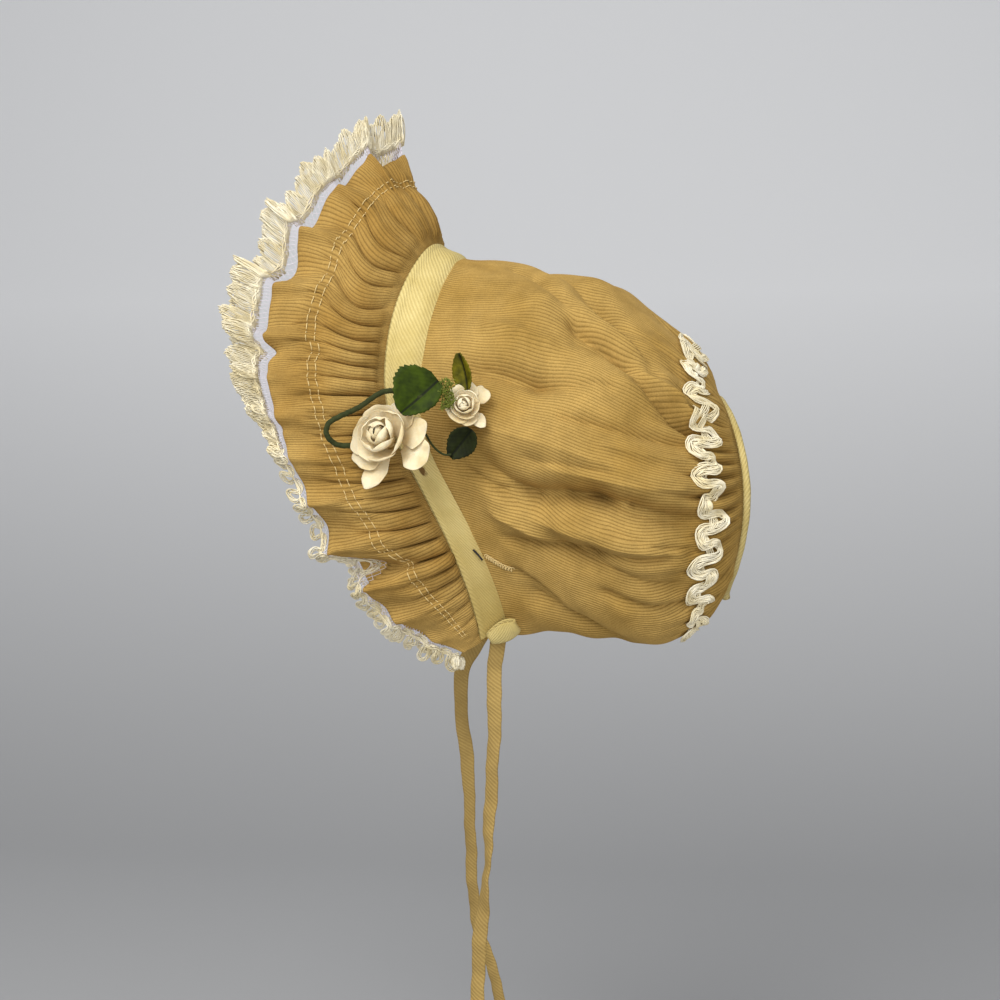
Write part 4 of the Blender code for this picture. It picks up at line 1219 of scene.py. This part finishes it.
# Tie tabs
# A short end of bias tape at each neck corner, folded back on itself over the band, where the tie
# is sewn on.
TAB_ROOT = (0.988, 0.005)
TAB_TIP = (0.947, 0.158)
TAB_HALF = 0.018
TAB_SLANT = 0.5
TAB_CAMBER = 0.5
TAB_SINK = 0.2
TAB_STEPS = 44
TAB_STEP_LENGTH = 0.9
TAB_COLUMNS = 16
TAB_COLUMN_WIDTH = 0.65
TAPE_WALL = 0.85
# Share of the way along the tab, and lift off the crown
TAB_ROWS = ((0.0, 3.0), (0.5, 3.3), (0.86, 3.2), (0.97, 3.45), (1.0, 4.2), (0.97, 4.9),
            (0.86, 5.2), (0.5, 5.3), (0.0, 4.6))

tab_along, tab_lift = smooth_route(TAB_ROWS, TAB_STEPS).T
half = TAB_HALF * np.sin(np.pi * (0.14 + 0.66 * np.clip(tab_along, 0, 1))) ** 0.8
across = np.linspace(-1, 1, TAB_COLUMNS)[:, None]
run = np.broadcast_to(np.arange(TAB_STEPS) * TAB_STEP_LENGTH, (TAB_COLUMNS, TAB_STEPS))
over = np.broadcast_to(np.arange(TAB_COLUMNS)[:, None] * TAB_COLUMN_WIDTH, run.shape)
tabs = ((1, "tie_tab_left", "left_tab_tape"), (-1, "tie_tab_right", "right_tab_tape"))
for side, node, name in tabs:
    arc = (TAB_ROOT[0] + (TAB_TIP[0] - TAB_ROOT[0]) * tab_along + across * half) * side
    depth = TAB_ROOT[1] + (TAB_TIP[1] - TAB_ROOT[1]) * tab_along + across * half * TAB_SLANT
    sheet = crown_surface(arc, depth, tab_lift + TAB_CAMBER * (1 - across ** 2) - TAB_SINK)
    points, faces = thick_sheet(sheet if side > 0 else sheet[::-1], TAPE_WALL)
    new_piece(name, points, faces, band_tape, "bias_tape", (run, over), replaced=node)

# Paper roses
# Cream crepe paper petals, pressed round a bud and layered outwards. Their rims curl and ruffle,
# and the paper lets some light through.
PAPER_WALL = 0.22
BUD_TURN = 150
ROSE_SINK = 2.2
PETAL_COLUMNS = ("turn", "spread", "base", "belly", "rim", "height", "ruffle")
PETAL_ROWS = (
    (0, 150, 0.3, 1.7, 0.1, 8.6, 0.03),
    (180, 150, 0.3, 1.9, 0.1, 8.8, 0.03),
    (95, 70, 0.5, 2.7, 0.7, 9.3, 0.14),
    (215, 66, 0.6, 2.9, 1.2, 8.7, 0.18),
    (330, 70, 0.6, 3.1, 1.4, 9.2, 0.18),
    (25, 50, 1.0, 4.3, 3.0, 8.6, 0.26),
    (95, 46, 1.0, 4.5, 3.6, 7.9, 0.26),
    (160, 48, 1.0, 4.7, 4.0, 8.2, 0.24),
    (232, 46, 1.0, 4.7, 3.7, 8.4, 0.28),
    (300, 48, 1.0, 4.5, 3.2, 8.5, 0.28),
    (350, 46, 1.2, 6.4, 5.4, 7.4, 0.30),
    (66, 44, 1.2, 6.5, 6.1, 6.6, 0.32),
    (140, 48, 1.2, 6.8, 6.9, 6.9, 0.26),
    (212, 46, 1.2, 6.8, 7.2, 6.2, 0.28),
    (276, 40, 1.2, 6.4, 6.0, 6.8, 0.30),
    (172, 42, 1.5, 8.8, 10.0, 5.2, 0.34),
    (122, 38, 1.5, 8.4, 9.8, 4.8, 0.36),
    (218, 34, 1.5, 8.6, 10.0, 4.2, 0.40),
    (64, 34, 1.5, 8.0, 10.2, 4.4, 0.50),
    (14, 34, 1.5, 8.2, 11.0, 3.8, 0.55),
    (250, 24, 2.0, 9.2, 13.0, 2.8, 0.60),
    (336, 30, 2.0, 9.4, 13.0, 3.0, 0.80),
)

# Crepe paper's fine crinkles break up its highlights, and thin rims glow where light comes through
paper_finish, tree, shader = start_finish("crepe_paper_petal", 0.75, 0.05, "#fff6e4", 0.2)
place = add_node(tree, "ShaderNodeTexCoord")
crinkle = add_node(tree, "ShaderNodeTexNoise", {
    "Vector": place.outputs["Object"], "Scale": 1 / (1.1 * MM), "Detail": 5.0, "Roughness": 0.6,
})
bump = add_node(tree, "ShaderNodeBump", {
    "Height": crinkle.outputs["Fac"], "Strength": 0.8, "Distance": 0.3 * MM,
})
feed(tree, shader, {
    "Base Color": mottled(tree, 6, (0.4, 0.75), "#e6d6b2", "#cbb381", 3.0),
    "Normal": bump.outputs["Normal"],
    "Subsurface Weight": 0.25,
    "Subsurface Radius": (1.2 * MM, 0.9 * MM, 0.6 * MM),
    "Subsurface Scale": 1.0,
})


def make_rose(name, node, centre, facing, scale, twist, grid):
    """Cupped petals whose base, belly and rim lie off an axis, round a bud that sits off centre."""
    centre = np.array(centre)
    facing = unit(np.array(facing, float))
    right = unit(np.cross((0, 0, 1), facing))
    top = np.cross(facing, right)
    across, along = np.meshgrid(np.linspace(-1, 1, grid), np.linspace(0, 1, grid), indexing="xy")
    bud_turn = math.radians(BUD_TURN + twist)
    petals = []
    for number, row in enumerate(PETAL_ROWS):
        petal = dict(zip(PETAL_COLUMNS, row))
        run = along * (1 - 0.44 * np.abs(across) ** 2.2)
        narrow = 0.62 + 0.38 * np.sin(np.pi / 2 * np.clip(run / 0.55, 0, 1))
        angle = np.radians(petal["turn"] + twist + petal["spread"] * across * narrow)
        wave = np.sin(4.3 * across + 2 * number) + 0.6 * np.sin(9.7 * across + number)
        wave = petal["ruffle"] * wave
        profile = (petal["base"], 0.55 * petal["belly"] + 0.4, petal["belly"], petal["rim"])
        radius = spline((0.0, 0.3, 0.7, 1.0), profile, run) + 0.06 * number + wave * run ** 3
        height = petal["height"] * np.sin(np.pi / 2 * run) ** 0.9
        height = height + wave * run ** 3 - 0.25 * run ** 8
        out = right * np.cos(angle)[..., None] + top * np.sin(angle)[..., None]
        shift = 2.4 * max(0.0, 1 - petal["belly"] / 8.6)
        aside = (right * math.cos(bud_turn) + top * math.sin(bud_turn)) * shift * scale
        axis = centre + aside - facing * ROSE_SINK
        sheet = axis + (out * radius[..., None] + facing * height[..., None]) * scale
        petals.append(thick_sheet(sheet, PAPER_WALL))
    made = new_piece(name, *joined(*petals), paper_finish, "rose_paper", replaced=node)
    smooth = made.modifiers.new("rounding", "SUBSURF")
    smooth.levels = 1
    smooth.render_levels = 1


make_rose("large_rose_petals", "rose_large", (59.3, -25.0, -55.0), (1, -0.32, 0.3), 1.0, 0, 14)
make_rose("small_rose_petals", "rose_small", (56.2, -4.6, -45.0), (0.9, 0.2, 0.25), 0.56, 60, 9)

# Calyx
# Soft green flock that covers the foot of the small rose, as short fibres glued on.
FLOCK_FIBRES = 260
FLOCK_LENGTH = 1.3
FLOCK_BEND = 0.35
FLOCK_RADIUS = 0.11
FLOCK_CENTRE = (59.2, -9.2, -42.4)
FLOCK_SPREAD = (0.7, 1.7, 4.0)

# Chopped fibre has no shine, only a pale bloom at its edges, and looks like moss
flock_finish = start_finish("green_flock_fibre", 0.85, 0.2, "#b7bf5a", colour="#6a7320")[0]
flock = np.random.default_rng(11)
roots = np.array(FLOCK_CENTRE) + flock.uniform(-1, 1, (FLOCK_FIBRES, 3)) * np.array(FLOCK_SPREAD)
ways = unit(flock.normal(size=(FLOCK_FIBRES, 3)) + np.array([0.9, 0, 0.3]))
along = np.linspace(0, 1, 4)[None, :, None]
bend = flock.normal(size=(FLOCK_FIBRES, 1, 3)) * FLOCK_BEND
routes = roots[:, None] + ways[:, None] * FLOCK_LENGTH * along + bend * along ** 2
points, faces = strands(routes, FLOCK_RADIUS, 4)
new_piece("calyx_flock", points, faces, flock_finish, "leaf_cloth")

# Leaves
# Stamped cloth leaves stiffened with wax, dulled with age: saw-toothed rims, a pressed midrib and
# side veins. The upright one has yellowed, and the small one is nearly black.
LEAF_WALL = 0.3
LEAF_ALONG = 33
LEAF_ACROSS = 13
LEAF_COLUMNS = ("name", "node", "base", "tip", "facing",
                "width", "skew", "fold", "teeth", "light", "dark")
LEAF_ROWS = (
    ("front_leaf", "leaf_front", (59.4, -11.6, -38.6), (63.0, -21.2, -47.6), (1, 0.25, 0.15),
     14.0, -0.34, 1.9, 12, "#364600", "#1f2b00"),
    ("upright_leaf", "leaf_upright", (55.0, -4.4, -41.0), (56.5, -6.6, -31.0), (0.8, -0.5, 0.2),
     6.4, 0.0, 1.6, 9, "#6b6410", "#383704"),
    ("dark_leaf", "leaf_dark", (57.4, -2.8, -52.0), (56.0, -9.0, -59.4), (1, 0.1, -0.1),
     8.0, 0.0, 1.0, 9, "#22280a", "#0e1104"),
)

for row in LEAF_ROWS:
    leaf = dict(zip(LEAF_COLUMNS, row))
    # Waxed cloth gives a deep cloudy green with hardly a highlight, and a nearly black pressed midrib
    finish, tree, shader = start_finish(f"waxed_cloth_{leaf['name']}", 0.6, 0.0, "#ffffff", 0.12)
    cloth_place = add_node(tree, "ShaderNodeAttribute", attribute_name="cloth")
    leaf_place = add_node(tree, "ShaderNodeSeparateXYZ", {"Vector": cloth_place.outputs["Vector"]})
    sideways = {0: leaf_place.outputs["Y"]}
    from_midrib = add_node(tree, "ShaderNodeMath", sideways, operation="ABSOLUTE")
    midrib = add_node(tree, "ShaderNodeMapRange", {
        "Value": from_midrib.outputs["Value"], "From Min": 0.2, "From Max": 0.55,
        "To Min": 0.85, "To Max": 0.0,
    })
    green = mottled(tree, 2.5, (0.35, 0.7), leaf["light"], leaf["dark"], 5.0)
    mixed = {"Factor": midrib.outputs["Result"], 6: green, 7: linear("#0c1004")}
    ribbed = add_node(tree, "ShaderNodeMix", mixed, data_type="RGBA")
    veins = add_node(tree, "ShaderNodeTexWave", {
        "Vector": cloth_place.outputs["Vector"], "Scale": WAVE_PERIOD / 1.3, "Distortion": 0.6,
    })
    bump = add_node(tree, "ShaderNodeBump", {
        "Height": veins.outputs["Fac"], "Strength": 0.15, "Distance": 0.2 * MM,
    })
    feed(tree, shader, {"Base Color": ribbed.outputs[2], "Normal": bump.outputs["Normal"]})
    base, tip, facing = (np.array(leaf[name], float) for name in ("base", "tip", "facing"))
    side = unit(np.cross(facing, tip - base))
    up = unit(np.cross(tip - base, side))
    along = np.linspace(0, 1, LEAF_ALONG)[:, None]
    across = np.linspace(-1, 1, LEAF_ACROSS)[None, :]
    outline = np.sin(np.pi * (0.05 + 0.90 * along) ** 0.85) ** 0.75
    tooth = 0.10 * (np.mod(along * leaf["teeth"], 1.0) - 0.5)
    lopsided = 1 + leaf["skew"] * np.sign(across)
    half = leaf["width"] / 2 * (outline + tooth * np.abs(across) ** 6) * lopsided
    valley = -0.45 * bell(across * half, 0.55)
    curve = leaf["fold"] * np.abs(across) * outline - 0.8 * np.sin(np.pi * along) + valley
    midline = base + (tip - base) * along[..., None]
    sheet = midline + side * (across * half)[..., None] + up * curve[..., None]
    points, faces = thick_sheet(sheet, LEAF_WALL)
    vein_run = np.linalg.norm(tip - base) * along - 0.8 * np.abs(across * half)
    cloth = (vein_run, across * half)
    new_piece(leaf["name"], points, faces, finish, "leaf_cloth", cloth, replaced=leaf["node"])

# Wire stems
# Thin wire wound with dark green paper tape, whose edge shows as a low spiral. A thinner bare
# twist of it holds the small leaf.
STEM_RADIUS = 0.75
STEM_STATIONS = 240
STEM_SIDES = 14
WRAP_PITCH = 2.2
WRAP_UNDER = 0.9
WRAP_STEP = 0.16
TWIG_STATIONS = 40
TWIG_RADIUS = 0.3
STEM_ROUTE = (
    (58.8, -14.0, -43.8),
    (60.3, -19.0, -42.6),
    (61.3, -26.0, -41.6),
    (62.5, -33.0, -46.0),
    (65.5, -37.6, -48.6),
    (67.0, -40.2, -50.6),
    (67.0, -40.6, -53.6),
    (65.5, -38.4, -56.0),
    (64.0, -35.0, -56.4),
)
TWIG_ROUTE = (
    (57.5, -15.4, -53.1),
    (57.8, -14.2, -55.2),
    (57.6, -12.6, -57.2),
    (57.0, -10.6, -58.6),
    (56.4, -8.6, -58.6),
)

# Wound paper tape is quite matt, a mottled dark green that is paler where it has rubbed
stem_finish, tree, shader = start_finish("wound_green_paper_tape", 0.85, 0.0, "#ffffff", 0.15)
feed(tree, shader, {"Base Color": mottled(tree, 1.6, (0.0, 1.0), "#232914", "#3f4424")})
route = smooth_route(STEM_ROUTE, STEM_STATIONS)
run = np.concatenate([[0], np.cumsum(np.linalg.norm(np.diff(route, axis=0), axis=1))])
points, faces = strands(route[None], STEM_RADIUS, STEM_SIDES)
rings = points.reshape(STEM_STATIONS, STEM_SIDES, 3)
angle = np.arange(STEM_SIDES) / STEM_SIDES
wrap = np.mod(run[:, None] / WRAP_PITCH + angle, 1.0)
thickness = WRAP_UNDER + WRAP_STEP * wrap[..., None]
rings = route[:, None, :] + (rings - route[:, None, :]) * thickness
new_piece("wound_stem", rings, faces, stem_finish, "stem_paper", replaced="stem_wire")
points, faces = strands(smooth_route(TWIG_ROUTE, TWIG_STATIONS)[None], TWIG_RADIUS, 8)
new_piece("thin_twig", points, faces, stem_finish, "stem_paper")

# Loose threads
# A short black stitch across the band's edge, and a few threads of the seam that have come out
# beside it.
BLACK_STITCH = ((0.785, 0.070), (0.795, 0.082), (0.806, 0.092))
FRAY_START = (0.797, 0.105)
FRAY_END = (0.819, 0.187)
FRAY_LOOPS = 11
FRAY_SWING = (0.006, 0.005)
FRAY_LIFT = 1.3
FRAY_RISE = 0.3
FRAY_RADIUS = 0.15
BLACK_STITCH_POINTS = 12
BLACK_STITCH_LIFT = 2.5
BLACK_STITCH_RADIUS = 0.3

# Black cotton thread is matt, so it reads as one dark dash
black_finish = start_finish("black_cotton_thread", 0.6, 0.1, "#555555", colour="#17130f")[0]
stitch_arc, stitch_depth = smooth_route(BLACK_STITCH, BLACK_STITCH_POINTS).T
route = crown_surface(stitch_arc, stitch_depth, BLACK_STITCH_LIFT)
points, faces = strands(route[None], BLACK_STITCH_RADIUS, 8)
new_piece("black_stitch", points, faces, black_finish, "bias_tape")
along = np.linspace(0, 1, FRAY_LOOPS * 8)
turn = 2 * np.pi * FRAY_LOOPS * along
fray_arc = FRAY_START[0] + (FRAY_END[0] - FRAY_START[0]) * along + FRAY_SWING[0] * np.sin(turn)
fray_depth = FRAY_START[1] + (FRAY_END[1] - FRAY_START[1]) * along + FRAY_SWING[1] * np.cos(turn)
fray_lift = crown_lift(fray_arc, fray_depth) + FRAY_LIFT + FRAY_RISE * np.sin(2 * turn)
points, faces = strands(crown_surface(fray_arc, fray_depth, fray_lift)[None], FRAY_RADIUS, 5)
new_piece("frayed_threads", points, faces, thread_finish, "corduroy")

# Floor and light
# A pale matt sweep behind and under the bonnet, a large soft light above the camera, a weaker one
# below it, and a weak even fill.
FLOOR_Z = -300.0
SWEEP_BACK_X = -900.0
SWEEP_FRONT_X = 900.0
SWEEP_RADIUS = 450.0
SWEEP_HALF_WIDTH = 1800.0
WALL_TOP = 1500.0
# Heights where the sweep's painted shade is darkest, and where it has faded out
SHADE_PAINTED_BELOW = -450.0
LIGHT_PAINTED_ABOVE = 120.0

angles = np.linspace(0, np.pi / 2, 24)
profile = [(SWEEP_FRONT_X, FLOOR_Z)]
profile += [
    (SWEEP_BACK_X + SWEEP_RADIUS * (1 - math.sin(a)), FLOOR_Z + SWEEP_RADIUS * (1 - math.cos(a)))
    for a in angles
]
profile.append((SWEEP_BACK_X, WALL_TOP))
sweep_sides = (-SWEEP_HALF_WIDTH, SWEEP_HALF_WIDTH)
sweep_points = np.array([[(x, y, z) for x, z in profile] for y in sweep_sides])
sweep_mesh = bpy.data.meshes.new("floor_sweep")
corners = (sweep_points.reshape(-1, 3) * MM).tolist()
sweep_mesh.from_pydata(corners, [], grid_faces(2, len(profile)))
sweep_mesh.shade_smooth()
# Matt paper, no highlight; painted shade grades it from grey at the foot to nearly white at the top
floor_finish, tree, shader = start_finish("matt_paper_with_painted_shade", 0.9)
place = add_node(tree, "ShaderNodeTexCoord")
height = add_node(tree, "ShaderNodeSeparateXYZ", {"Vector": place.outputs["Object"]})
fade = add_node(tree, "ShaderNodeMapRange", {
    "Value": height.outputs["Z"], "From Min": SHADE_PAINTED_BELOW * MM, "From Max": LIGHT_PAINTED_ABOVE * MM,
})
mixed = {"Factor": fade.outputs["Result"], 6: linear("#858585"), 7: linear("#f4f4f4")}
painted_shade_grey = add_node(tree, "ShaderNodeMix", mixed, data_type="RGBA")
feed(tree, shader, {"Base Color": painted_shade_grey.outputs[2]})
sweep_mesh.materials.append(floor_finish)
sweep = bpy.data.objects.new("floor_sweep", sweep_mesh)
bpy.context.scene.collection.objects.link(sweep)

LIGHTS = (
    ("key_light", (540, -200, 430), 5.6, 0.55),
    ("side_fill", (560, 200, -160), 2.5, 0.7),
)
for name, place_mm, power, size in LIGHTS:
    data = bpy.data.lights.new(name, "AREA")
    data.energy = power
    data.size = size
    light = bpy.data.objects.new(name, data)
    light.location = [value * MM for value in place_mm]
    toward = np.array(VIEW_TARGET) - np.array(place_mm)
    yaw = math.atan2(toward[0], -toward[1])
    pitch = math.acos(-toward[2] / float(np.linalg.norm(toward)))
    light.rotation_euler = (pitch, 0, yaw + math.pi)
    bpy.context.scene.collection.objects.link(light)
world = bpy.data.worlds.new("soft_room")
world.use_nodes = True
backdrop = world.node_tree.nodes["Background"]
feed(world.node_tree, backdrop, {"Color": linear("#e6e8ec"), "Strength": 0.55})
bpy.context.scene.world = world
